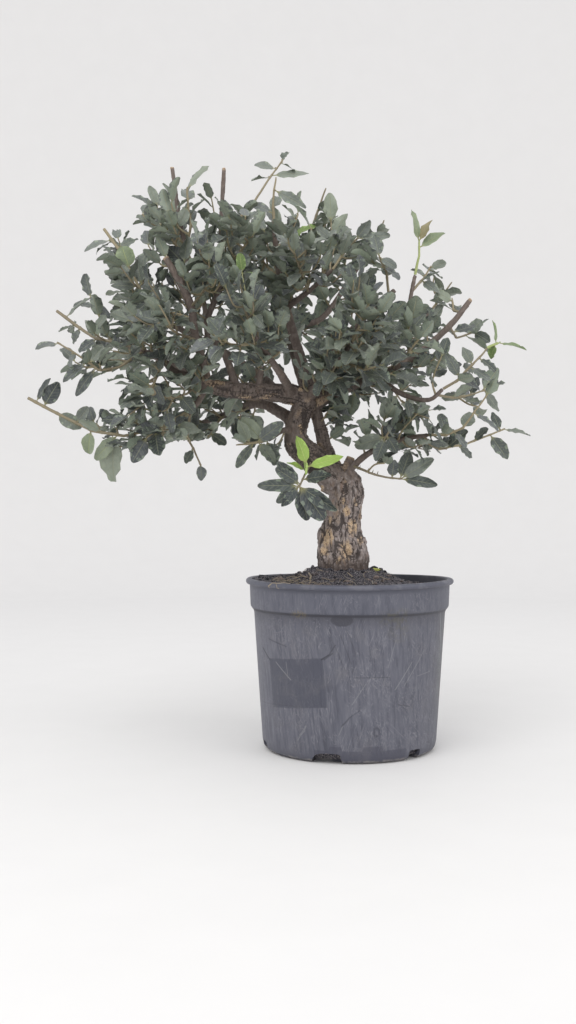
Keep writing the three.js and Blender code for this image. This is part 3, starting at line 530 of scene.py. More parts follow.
points, faces = [], []
for ring in range(PEAT_RINGS + 1):
    radius = TRUNK_HOLE + (PEAT_RADIUS - TRUNK_HOLE) * ring / PEAT_RINGS
    for side in range(PEAT_SIDES):
        turn = 2 * math.pi * (side + 0.5 * (ring % 2)) / PEAT_SIDES
        x, y = radius * math.cos(turn), radius * math.sin(turn)
        points.append((x, y, peat_surface(x, y)))
for radius, height in PEAT_WALL:
    for side in range(PEAT_SIDES):
        turn = 2 * math.pi * (side + 0.5 * (PEAT_RINGS % 2)) / PEAT_SIDES
        points.append((radius * math.cos(turn), radius * math.sin(turn), height))
rows = PEAT_RINGS + 1 + len(PEAT_WALL)
for row in range(rows - 1):
    for side in range(PEAT_SIDES):
        after = (side + 1) % PEAT_SIDES
        low, high = row * PEAT_SIDES, (row + 1) * PEAT_SIDES
        faces.append((low + side, high + side, high + after, low + after))
points += [(0, 0, PEAT_LEVEL + MOUND_HEIGHT), (0, 0, PEAT_WALL[-1][1])]
for side in range(PEAT_SIDES):
    after = (side + 1) % PEAT_SIDES
    last = (rows - 1) * PEAT_SIDES
    faces += [(len(points) - 2, side, after), (last + side, len(points) - 1, last + after)]

pick = random.Random(11)
ring_height, ring_radius = math.sqrt(0.2), math.sqrt(0.8)  # of the two rings of a ball with 12 corners
ball_points, ball_faces = [Vector((0, 0, -1))], []
for height, offset in ((-ring_height, 0.5), (ring_height, 1)):
    for step in range(5):
        turn = 2 * math.pi * (step + offset) / 5
        ball_points.append(Vector((ring_radius * math.cos(turn), ring_radius * math.sin(turn), height)))
ball_points.append(Vector((0, 0, 1)))
for step in range(5):
    low, low_after, high, high_after = 1 + step, 1 + (step + 1) % 5, 6 + step, 6 + (step + 1) % 5
    ball_faces += [(0, low_after, low), (low, low_after, high)]
    ball_faces += [(high, low_after, high_after), (11, high, high_after)]
seams, fine_faces, fine_points = {}, [], list(ball_points)
for a, b, c in ball_faces:
    middles = []
    for ends in ((a, b), (b, c), (c, a)):
        key = tuple(sorted(ends))
        if key not in seams:
            seams[key] = len(fine_points)
            fine_points.append(((ball_points[key[0]] + ball_points[key[1]]) / 2).normalized())
        middles.append(seams[key])
    ab, bc, ca = middles
    fine_faces += [(a, ab, ca), (b, bc, ab), (c, ca, bc), (ab, bc, ca)]

tones = [0.5] * len(points)
for _ in range(CRUMBS):
    turn, radius = pick.uniform(0, 2 * math.pi), 91.5 * math.sqrt(pick.uniform(0.05, 1))
    x, y = radius * math.cos(turn), radius * math.sin(turn)
    size = 0.7 + 1.9 * pick.random() ** 3
    stretch = Vector((pick.uniform(0.7, 1.4), pick.uniform(0.7, 1.4), pick.uniform(0.5, 0.9)))
    middle = Vector((x, y, peat_surface(x, y) + size * 0.25))
    if radius > 90 - size:
        continue
    first, seed, tone = len(points), Vector((pick.uniform(0, 99), 0, 0)), pick.random()
    for corner in fine_points:
        rough = 1 + 0.55 * noise.noise(corner * 1.3 + seed)
        reach = Vector((corner.x * stretch.x, corner.y * stretch.y, corner.z * stretch.z))
        points.append(middle + reach * size * rough)
        tones.append(tone)
    faces += [(first + a, first + b, first + c) for a, b, c in fine_faces]


def add_fibre(points, faces, path, radii, sides):
    """Adds a closed round strand along a path to the points and faces of a mesh."""
    first, count = len(points), len(path)
    side = None
    for index, place in enumerate(path):
        ahead = (path[min(index + 1, count - 1)] - path[max(index - 1, 0)]).normalized()
        if side is None:
            side = ahead.orthogonal().normalized()
        side = (side - ahead * side.dot(ahead)).normalized()
        other = ahead.cross(side)
        for step in range(sides):
            turn = 2 * math.pi * step / sides
            points.append(place + (side * math.cos(turn) + other * math.sin(turn)) * radii[index])
    for index in range(count - 1):
        low, high = first + index * sides, first + (index + 1) * sides
        for step in range(sides):
            after = (step + 1) % sides
            faces.append((low + step, low + after, high + after, high + step))
    faces.append(tuple(first + step for step in reversed(range(sides))))
    faces.append(tuple(first + (count - 1) * sides + step for step in range(sides)))


ROOT_TUFTS = [  # middle of the tuft, its spread, how many roots and their usual length
    ((-62, -52), 20, 40, 14), ((-50, -62), 14, 22, 11), ((-30, -60), 16, 14, 9), ((10, -60), 30, 12, 8),
    ((0, 0), 80, 52, 10),
]
for (middle_x, middle_y), spread, count, usual in ROOT_TUFTS:
    for _ in range(count):
        x, y = middle_x + pick.gauss(0, spread * 0.5), middle_y + pick.gauss(0, spread * 0.5)
        if math.hypot(x, y) > 89 or math.hypot(x + 6, y) < 25:
            continue
        heading, length = pick.uniform(0, 2 * math.pi), usual * pick.uniform(0.4, 1.6)
        path, lift, bend = [], pick.uniform(0.2, 2.2), pick.uniform(-0.5, 0.5)
        for step in range(7):
            if math.hypot(x, y) < 91:
                arch = lift * math.sin(math.pi * step / 6)
                path.append(Vector((x, y, peat_surface(x, y) + 0.3 + arch)))
            heading += bend + pick.uniform(-0.35, 0.35)
            x, y = x + length / 6 * math.cos(heading), y + length / 6 * math.sin(heading)
        if len(path) > 3:
            size = pick.uniform(0.14, 0.32)
            before = len(points)
            add_fibre(points, faces, path, [size * (1 - 0.5 * i / len(path)) for i in range(len(path))], 4)
            tones += [pick.uniform(1.2, 2)] * (len(points) - before)


def on_peat(u, v):
    """Where the peat is seen at a pixel, or None above its edge."""
    for step in range(300):
        y = -91 + step * 0.6
        place = seen(u, v, y)
        if math.hypot(place.x, y) < 91 and place.z <= peat_surface(place.x, y) + 0.35:
            return place


LOOSE_ROOTS = [  # pixels along roots and bits that lie on the peat, with their thickness
    ([(272, 581), (277, 578.5), (284, 579.5), (291, 577), (297, 578)], 0.45),
    ([(276, 583), (284, 581), (292, 582), (300, 579.5)], 0.35),
    ([(281, 576.5), (288, 578), (296, 575.5)], 0.4),
    ([(292, 580), (301, 576.5), (309, 578)], 0.38), ([(300, 575), (306, 577.5), (311, 581)], 0.5),
    ([(309, 574), (311, 577), (310, 580)], 0.8), ([(347.5, 573), (351, 576), (354.5, 580.5)], 0.4),
    ([(349, 574), (353, 577)], 0.3), ([(322, 578), (331, 580.5), (338, 579)], 0.3),
    ([(380, 577), (388, 580)], 0.35),
]
OVER_THE_LIP = [  # the same for roots that hang over the lip, with their distance too
    ([(276, 583, -92), (272, 583, -97), (268.5, 586.5, -101)], 0.4),
    ([(281, 583, -92), (276, 583.5, -100), (277, 588, -101.5), (279, 588.5, -101.5)], 0.28),
    ([(271, 583.5, -97), (268, 586, -101.5), (269.5, 588, -101.5)], 0.3),
    ([(290, 583.5, -92), (284, 582.5, -98), (278, 583.5, -101), (273, 583, -101.5)], 0.32),
]
LOOSE_ROOT_TONE = 1.6
TRUNK_BITS = [  # bits by the trunk: place (u, v, y), size and tone, the first one a fresh green scrap
    ((375.8, 569.7, -4), 2.6, 3.0), ((374, 567.5, 0), 2.4, 0.1), ((379, 571, 0), 2.4, 0.2),
    ((384, 573.5, 2), 2, 0.4),
]
strands = [([seen(*place) for place in path], size) for path, size in OVER_THE_LIP]
for path, size in LOOSE_ROOTS:
    found = [on_peat(*place) for place in path]
    strands.append(([place + Vector((0, 0, size)) for place in found if place], size))
for path, size in strands:
    if len(path) > 1:
        before = len(points)
        add_fibre(points, faces, path, [size] * len(path), 5)
        tones += [LOOSE_ROOT_TONE] * (len(points) - before)
for bit, size, tone in TRUNK_BITS:
    first, middle = len(points), seen(*bit)
    for corner in fine_points:
        rough = 1 + 0.6 * noise.noise(corner * 1.7 + middle)
        points.append(middle + Vector((corner.x * 1.5, corner.y, corner.z * 0.6)) * size * rough)
        tones.append(tone)
    faces += [(first + a, first + b, first + c) for a, b, c in fine_faces]

peat = Finish("moist_peat")
place = peat.node("TexCoord", output="Object")
kind = peat.node("Attribute", {"attribute_name": "peat_tone"}, output="Fac")
clod, grit, dust = peat.grain(place, 7, 4), peat.grain(place, 1.6, 4, 0.7), peat.grain(place, 0.6, 2)
colour = peat.mix(clod, (0.005, 0.005, 0.01), (0.043, 0.04, 0.055))
colour = peat.mix(peat.rise(grit, 0.54, 0.66) * 0.9, colour, (0.165, 0.145, 0.158))
colour = peat.mix(peat.rise(dust, 0.57, 0.64) * 0.9, colour, (0.5, 0.46, 0.45))
colour = peat.mix(peat.rise(kind, 0.35, 0.15) * 0.8, colour, (0.008, 0.008, 0.012))
colour = peat.mix(peat.rise(kind, 0.68, 0.95) * 0.75, colour, (0.24, 0.186, 0.16))
straw = peat.mix(grit, (0.2, 0.158, 0.112), (0.45, 0.38, 0.29))
colour = peat.mix(peat.rise(kind, 1.05, 1.15), colour, straw)
colour = peat.mix(peat.rise(kind, 2.4, 2.6), colour, (0.51, 0.542, 0.117))
peat_material = peat.surface(colour, 0.85 + (grit - 0.5) * 0.2, (clod - 0.5) + (grit - 0.5) * 0.8, 1.8)

peat_mesh = make_mesh("peat_top", points, faces)
kept = peat_mesh.attributes.new("peat_tone", "FLOAT", "POINT")
kept.data.foreach_set("value", np.array(tones, np.float32))
peat_piece = make_piece("peat", peat_mesh, peat_material)
peat_mesh.set_sharp_from_angle(angle=math.radians(50))
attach(peat_piece, "root")
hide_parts("soil")

# The tree's wood, all one growth: a short corky trunk, two stems, a heavy limb to the left, and branches that
# were pruned back to stubs. The bark is grey-brown cork in upright plates, worn to tan in patches.
TRUNK_ROWS = [  # height, how far the middle is to the side, and radius
    (150, -6, 24), (168, -6, 24.6), (176, -6.2, 24.4), (188, -6.4, 24.2), (197, -6.8, 23.4), (205, -8, 20.6),
    (219, -6.4, 17.4), (232, -4, 16.6), (245, -1.8, 16.8), (256, -3, 15), (264, -5, 12), (269, -5.4, 7),
]
TRUNK_SIDES = 72
HEAVY_RADIUS = 6  # a limb at least this thick at its root is in one piece with the trunk
VOXELS = {"trunk_wood": 0.95, "branch_wood": 1.2}
# Each limb grows on another at a share of its length, and runs through places (u, v, y). Its radii are those
# at its root and at its end.
LIMBS = {
    "left_stem": dict(
        on=None, radii=(12.4, 10.4),
        route=[
            (338, 482, 0), (313, 459, -2), (298, 445, 0), (296, 430, 2), (300, 415, 4),
            (309, 399, 6),
        ],
    ),
    "right_stem": dict(
        on=None, radii=(7, 6.2),
        route=[(340, 478, 6), (327, 453, 10), (322, 435, 12), (317, 415, 12), (312, 399, 10)],
    ),
    "knob": dict(on=None, radii=(5.4, 4), route=[(345, 474, -3), (351, 457, -4)]),
    "spur": dict(on=None, radii=(3.4, 2.2), route=[(335, 494, -6), (321, 489, -8)]),
    "side_limb": dict(
        on=("left_stem", 1), radii=(9.8, 6.8),
        route=[(290, 394, 2), (265, 392, -6), (240, 391, -14), (215, 387, -20), (199, 379, -24)],
    ),
    "low_limb": dict(
        on=("left_stem", 0.6), radii=(6.8, 2.6),
        route=[(286, 416, 22), (262, 404, 45), (243, 407, 58), (225, 415, 70), (195, 425, 82)],
    ),
    "left_branch": dict(
        on=("side_limb", 1), radii=(4.4, 2.2),
        route=[(175, 372, -35), (160, 358, -45), (140, 350, -55)],
    ),
    "left_back_branch": dict(
        on=("side_limb", 0.8), radii=(4.4, 2.2),
        route=[(180, 370, 10), (145, 352, 42), (108, 338, 66)],
    ),
    "cut_branch": dict(
        on=("side_limb", 0.88), radii=(4.4, 3.4),
        route=[(202, 360, -36), (195, 335, -44), (191, 307, -50), (178, 279, -54), (165, 257, -56)],
    ),
    "inner_branch": dict(
        on=("side_limb", 0.62), radii=(4.2, 2.1),
        route=[(225, 355, -8), (207, 324, -14), (222, 282, -20), (221, 235, -20), (224, 168, -20)],
    ),
    "upper_left_twig": dict(
        on=("cut_branch", 0.76), radii=(3, 2),
        route=[(187, 254, -48), (180, 223, -47), (172, 167, -46)],
    ),
    "leader": dict(
        on=("left_stem", 1), radii=(6.4, 2.4),
        route=[(303, 368, 16), (293, 333, 12), (284, 298, 6), (277, 258, 2), (274, 222, -2)],
    ),
    "upper_right_branch": dict(
        on=("leader", 0.55), radii=(3.4, 2.1),
        route=[(308, 292, -8), (332, 270, -18)],
    ),
    "right_inner_limb": dict(
        on=("right_stem", 1), radii=(5.4, 2.4),
        route=[(325, 370, -6), (341, 343, -16), (363, 319, -26), (395, 290, -34)],
    ),
    "right_limb": dict(
        on=("right_stem", 0.9), radii=(5.8, 2.4),
        route=[
            (345, 388, -3), (380, 376, -14), (402, 365, -20), (428, 346, -26), (454, 321, -30),
            (471, 299, -32),
        ],
    ),
    "right_upright": dict(
        on=("right_limb", 0.56), radii=(3, 1.9),
        route=[(409, 336, -22), (410, 303, -23), (415, 275, -24)],
    ),
    "right_side_branch": dict(
        on=("right_limb", 0.32), radii=(3, 2),
        route=[(402, 394, -28), (428, 400, -38), (443, 389, -42)],
    ),
    "right_back_limb": dict(
        on=("right_stem", 1), radii=(5.4, 2.4),
        route=[(345, 380, 42), (375, 358, 72), (405, 334, 96), (430, 312, 112)],
    ),
    "right_low_branch": dict(
        on=None, radii=(3.6, 2.1),
        route=[(341, 478, -4), (369, 453, -14), (400, 440, -22), (428, 435, -28)],
    ),
    "back_limb": dict(
        on=("left_stem", 1), radii=(6.4, 2.4),
        route=[(300, 372, 52), (291, 342, 88), (282, 306, 112), (276, 272, 128)],
    ),
    "back_left_limb": dict(
        on=("side_limb", 0.3), radii=(5.4, 2.4),
        route=[(254, 372, 44), (216, 348, 78), (178, 328, 104), (142, 308, 122)],
    ),
    "back_right_branch": dict(
        on=("back_limb", 0.6), radii=(3.8, 2.2),
        route=[(322, 318, 112), (348, 282, 124), (368, 252, 120)],
    ),
    "back_upper_branch": dict(
        on=("back_left_limb", 0.55), radii=(3.6, 2.2),
        route=[(204, 304, 92), (192, 262, 96)],
    ),
    "back_top_branch": dict(
        on=("leader", 0.55), radii=(3.4, 2.1),
        route=[(298, 272, 36), (312, 228, 56)],
    ),
    "front_limb": dict(
        on=("side_limb", 0.18), radii=(4.8, 2.2),
        route=[(282, 376, -38), (268, 356, -74), (254, 335, -102)],
    ),
    "front_right_limb": dict(
        on=("left_stem", 1), radii=(4.8, 2.2),
        route=[(320, 382, -34), (336, 364, -70), (352, 342, -98)],
    ),
    "side_twig": dict(
        on=("side_limb", 0.92), radii=(3.8, 2.6),
        route=[(200, 399, -28), (188, 414, -34)],
    ),
    "low_front_branch": dict(
        on=("left_stem", 0.5), radii=(3.6, 2.4),
        route=[(285, 430, -12), (268, 440, -16)],
    ),
    "upright_branch": dict(
        on=("side_limb", 0.46), radii=(3.4, 2.1),
        route=[(261, 368, -12), (259, 340, -18), (250, 300, -26)],
    ),
}


def smooth_step(value, low, high):
    share = min(max((value - low) / (high - low), 0), 1)
    return share * share * (3 - 2 * share)


class Curve:
    """A smooth curve through places, with even steps of its parameter from 0 to 1."""

    def __init__(self, places):
        self.places = places

    def point(self, share):
        last = len(self.places) - 1
        index = min(int(last * share), last - 1)
        weight = last * share - index
        start, end = self.places[index], self.places[index + 1]
        before = self.places[index - 1] if index else start * 2 - end
        after = self.places[index + 2] if index + 2 <= last else end * 2 - start
        leave, arrive = (end - before) * 0.5, (after - start) * 0.5
        bend = (end - start) * 3 - leave * 2 - arrive
        turn = (start - end) * 2 + leave + arrive
        return start + leave * weight + bend * weight**2 + turn * weight**3

    def ahead(self, share):
        return (self.point(min(share + 0.002, 1)) - self.point(max(share - 0.002, 0))).normalized()


limb_curves, limb_radii = {}, {}
for name, limb in LIMBS.items():
    places = [seen(*place) for place in limb["route"]]
    if limb["on"]:
        parent, share = limb["on"]
        places.insert(0, limb_curves[parent].point(share))
    limb_curves[name] = Curve(places)
    limb_radii[name] = limb["radii"]

points, faces = [], []
branch_points, branch_faces = [], []
spine, spine_facts = [], []  # places along the middle of all the wood, for telling the bark where it is
rows = []
for (low, low_side, low_radius), (high, high_side, high_radius) in zip(TRUNK_ROWS, TRUNK_ROWS[1:]):
    for step in range(max(round((high - low) / 2), 1)):
        share = step / max(round((high - low) / 2), 1)
        ease = share * share * (3 - 2 * share)
        rows.append((low + (high - low) * share, low_side + (high_side - low_side) * ease,
                     low_radius + (high_radius - low_radius) * ease))
rows.append(TRUNK_ROWS[-1])
for height, middle, radius in rows:
    spine.append(Vector((middle, 0, height)))
    spine_facts.append((radius, Vector((1, 0, 0)), Vector((0, 1, 0)), height, 0.0))
    for side in range(TRUNK_SIDES):
        turn = 2 * math.pi * side / TRUNK_SIDES
        relief = smooth_step(height, 172, 186)
        relief *= (0.075 * math.cos(5 * turn + 1.8 * math.sin(height / 17)) * math.cos(height / 11 + 2 * turn)
                   + 0.05 * math.cos(8 * turn - height / 7))
        reach = radius * (1 + relief)
        points.append(Vector((middle + reach * math.sin(turn), reach * math.cos(turn), height)))
for row in range(len(rows) - 1):
    low, high = row * TRUNK_SIDES, (row + 1) * TRUNK_SIDES
    for side in range(TRUNK_SIDES):
        after = (side + 1) % TRUNK_SIDES
        faces.append((low + after, low + side, high + side, high + after))
faces.append(tuple(range(TRUNK_SIDES)))
faces.append(tuple((len(rows) - 1) * TRUNK_SIDES + side for side in reversed(range(TRUNK_SIDES))))

pick = random.Random(5)
for number, (name, curve) in enumerate(limb_curves.items()):
    root, end = limb_radii[name]
    length = sum((a - b).length for a, b in zip(curve.places, curve.places[1:]))
    count = max(round(length / 2.5), 6)
    path = [curve.point(step / count) for step in range(count + 1)]
    swell, kink = pick.uniform(0, 6), pick.uniform(0, 99)
    radii = []
    for step in range(count + 1):
        share = step / count
        knobs = 1 + 0.06 * noise.noise(Vector((share * length / 13, kink, 0)))
        collar = 1 + 0.35 * math.exp(-share * length / (1.6 * root))
        radii.append((root + (end - root) * share) * knobs * collar)
    heavy = root >= HEAVY_RADIUS or not LIMBS[name]["on"]
    add_fibre(points if heavy else branch_points, faces if heavy else branch_faces, path, radii, 12)
    side = None
    for step, place in enumerate(path):
        ahead = curve.ahead(step / count)
        side = (ahead.orthogonal() if side is None else side - ahead * side.dot(ahead)).normalized()
        spine.append(place)
        spine_facts.append((radii[step], side, ahead.cross(side), step / count * length, 40.0 * number + 40))

spine_tree = KDTree(len(spine))
for index, place in enumerate(spine):
    spine_tree.insert(place, index)
spine_tree.balance()

NOISE_SEED = 4
noise.seed_set(NOISE_SEED)  # without it the vector noise differs from run to run
PRUNED = ("cut_branch", "upper_left_twig", "inner_branch", "right_limb", "spur", "knob")
pruned_ends = []
for name in PRUNED:
    curve = limb_curves[name]
    pruned_ends.append((curve.point(1), curve.ahead(1), limb_radii[name][1]))
PATCHED_RADIUS = 10.6  # only wood thicker than this has them
TAN_PATCHES = [  # where the cork is worn to tan, in pixels: middle, half width and half height
    (290, 436, 3.5, 9), (300, 429, 4, 5), (343.6, 501, 1.8, 4), (355.6, 502.5, 2.2, 4.5),
    (346.5, 511.5, 4, 5.5), (352, 527, 5, 8), (327, 538, 6.5, 9.5), (346.5, 551, 6.5, 10),
    (324.4, 552, 5, 4.5), (360, 540, 3, 5), (339, 561, 3, 5), (330, 520, 2, 5),
]


def bark_on(wood):
    """Raises plates, cracks and lumps on smooth wood, and notes where it is cracked and worn."""
    mesh = wood.data
    count = len(mesh.vertices)
    places, normals = np.zeros(count * 3), np.zeros(count * 3)
    mesh.vertices.foreach_get("co", places)
    mesh.vertices.foreach_get("normal", normals)
    places, normals = places.reshape(-1, 3) / MM, normals.reshape(-1, 3)
    cracks, bare = np.zeros(count), np.zeros(count)
    for index in range(count):
        place, normal = Vector(places[index]), Vector(normals[index])
        hits = spine_tree.find_n(place, 5)
        found = min(hits, key=lambda hit: abs(hit[2] - spine_facts[hit[1]][0]))[1]
        radius, side, other, along, offset = spine_facts[found]
        out = place - spine[found]
        local = Vector((out.dot(side) + offset, out.dot(other), along))
        cork = smooth_step(radius, 2.4, 9)
        upright = Vector((local.x, local.y, local.z * 0.42)) + noise.noise_vector(local / 7) * 1.6 * cork
        gaps, _ = noise.voronoi(upright / (2.6 + 3.2 * cork), distance_metric="DISTANCE")
        plate = smooth_step(gaps[1] - gaps[0], 0.0, 0.24)
        long_way = Vector((local.x, local.y, local.z * 0.3)) / (5 + 7 * cork) + Vector((3, 7, 1))
        furrow = 1 - smooth_step(abs(noise.noise(long_way)), 0.0, 0.14)
        rough = noise.fractal(local / 2.2, 0.8, 2, 3)
        lumps = noise.fractal(local / 11 + Vector((9, 2, 4)), 0.9, 2, 2)
        lift = (0.16 + 1.15 * cork) * (0.75 * plate - 0.55 - 0.6 * furrow)
        lift += (0.1 + 0.4 * cork) * rough + (0.2 + 1.0 * cork) * lumps
        places[index] += normal * lift * (0.5 if place.z < 178 else 1)
        cracks[index] = max((1 - plate) * (0.35 + 0.65 * cork), furrow * cork)
        spots = noise.noise(Vector((local.x, local.y, local.z * 0.5)) / 9 + Vector((1, 5, 8)))
        worn = smooth_step(spots, 0.22, 0.42) * cork * 0.8
        if radius > PATCHED_RADIUS and place.y < 6:
            u, v = pixel_of(place)
            worn *= 0.35
            for middle_u, middle_v, half_u, half_v in TAN_PATCHES:
                gap = math.hypot((u - middle_u) / half_u, (v - middle_v) / half_v)
                worn = max(worn, 1 - smooth_step(gap + 0.5 * noise.noise(local / 3), 0.65, 1.15))
        worn *= 1 - 0.6 * cracks[index]
        for end, ahead, end_radius in pruned_ends:
            beyond = (place - end).dot(ahead)
            if (place - end).length < end_radius * 1.7 and beyond > -2.2:
                worn = 0.95 if normal.dot(ahead) > 0.6 else 0.5
        bare[index] = worn
    mesh.vertices.foreach_set("co", (places * MM).ravel())
    for name, values in [("crack", cracks), ("worn", bare)]:
        kept = mesh.attributes.new(name, "FLOAT", "POINT")
        kept.data.foreach_set("value", values.astype(np.float32))
    mesh.update()


YOUNG_SHARE = 0.526  # the bark is about half way from that of young shoots to old cork

bark = Finish("cork_bark")
place = bark.node("TexCoord", output="Object")
crack = bark.node("Attribute", {"attribute_name": "crack"}, output="Fac")
worn = bark.node("Attribute", {"attribute_name": "worn"}, output="Fac")
up = bark.node("SeparateXYZ", None, {0: place}, "Z") * 1000
lean = bark.stretched(place, (1, 1, 0.5))
coarse, medium, fine = bark.grain(lean, 9, 3), bark.grain(lean, 2.4, 4, 0.6), bark.grain(place, 0.7, 3, 0.6)
plates = bark.mix(coarse, (0.255, 0.227, 0.222), (0.5, 0.45, 0.448))
plates = bark.mix(bark.rise(medium, 0.5, 0.66) * 0.85, plates, (0.74, 0.685, 0.685))
plates = bark.mix(bark.rise(medium, 0.5, 0.34) * 0.6, plates, (0.094, 0.073, 0.066))
rust = bark.rise(bark.grain(lean, 6, 2), 0.56, 0.7)
plates = bark.mix(rust * 0.5, plates, (0.341, 0.178, 0.089))
# Painted shade: the wood high up, in the crown's shade, is darkened.
plates = bark.mix(bark.rise(up, 244, 274) * 0.78, plates, (0.055, 0.051, 0.053))
tan = bark.mix(medium, (0.33, 0.205, 0.11), (0.84, 0.65, 0.44))
tan = bark.mix(bark.rise(fine, 0.5, 0.62) * 0.75, tan, (0.15, 0.085, 0.048))
shoot_bark = bark.mix(medium, (0.108, 0.08, 0.062), (0.26, 0.187, 0.138))
shoot_bark = bark.mix(bark.rise(fine, 0.6, 0.75) * 0.4, shoot_bark, (0.36, 0.28, 0.21))
colour = bark.mix(YOUNG_SHARE, plates, shoot_bark)
colour = bark.mix(worn, colour, tan)
colour = bark.mix(bark.rise(crack + (fine - 0.5) * 0.5, 0.4, 0.9) * 0.85, colour, (0.042, 0.033, 0.03))
soiled = (1 - bark.rise(up + (medium - 0.5) * 14, 172, 186)) * 0.8
colour = bark.mix(soiled, colour, (0.07, 0.05, 0.041))
height = (coarse - 0.5) * 0.6 + (medium - 0.5) * 0.7 + (fine - 0.5) * 0.35
bark_material = bark.surface(colour, 0.82 + (fine - 0.5) * 0.2, height, 0.753)

for name, shape in [("trunk_wood", (points, faces)), ("branch_wood", (branch_points, branch_faces))]:
    wood = make_piece(name, make_mesh(name, *shape))
    one_skin = wood.modifiers.new("one_skin", "REMESH")
    one_skin.mode, one_skin.voxel_size, one_skin.use_smooth_shade = "VOXEL", VOXELS[name] * MM, True
    ease = wood.modifiers.new("ease", "SMOOTH")
    ease.factor, ease.iterations = 0.5, 4 if name == "trunk_wood" else 2
    keep_modifiers(wood)
    bark_on(wood)
    wood.data.materials.append(bark_material)
    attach(wood, "root")
    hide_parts("tree")

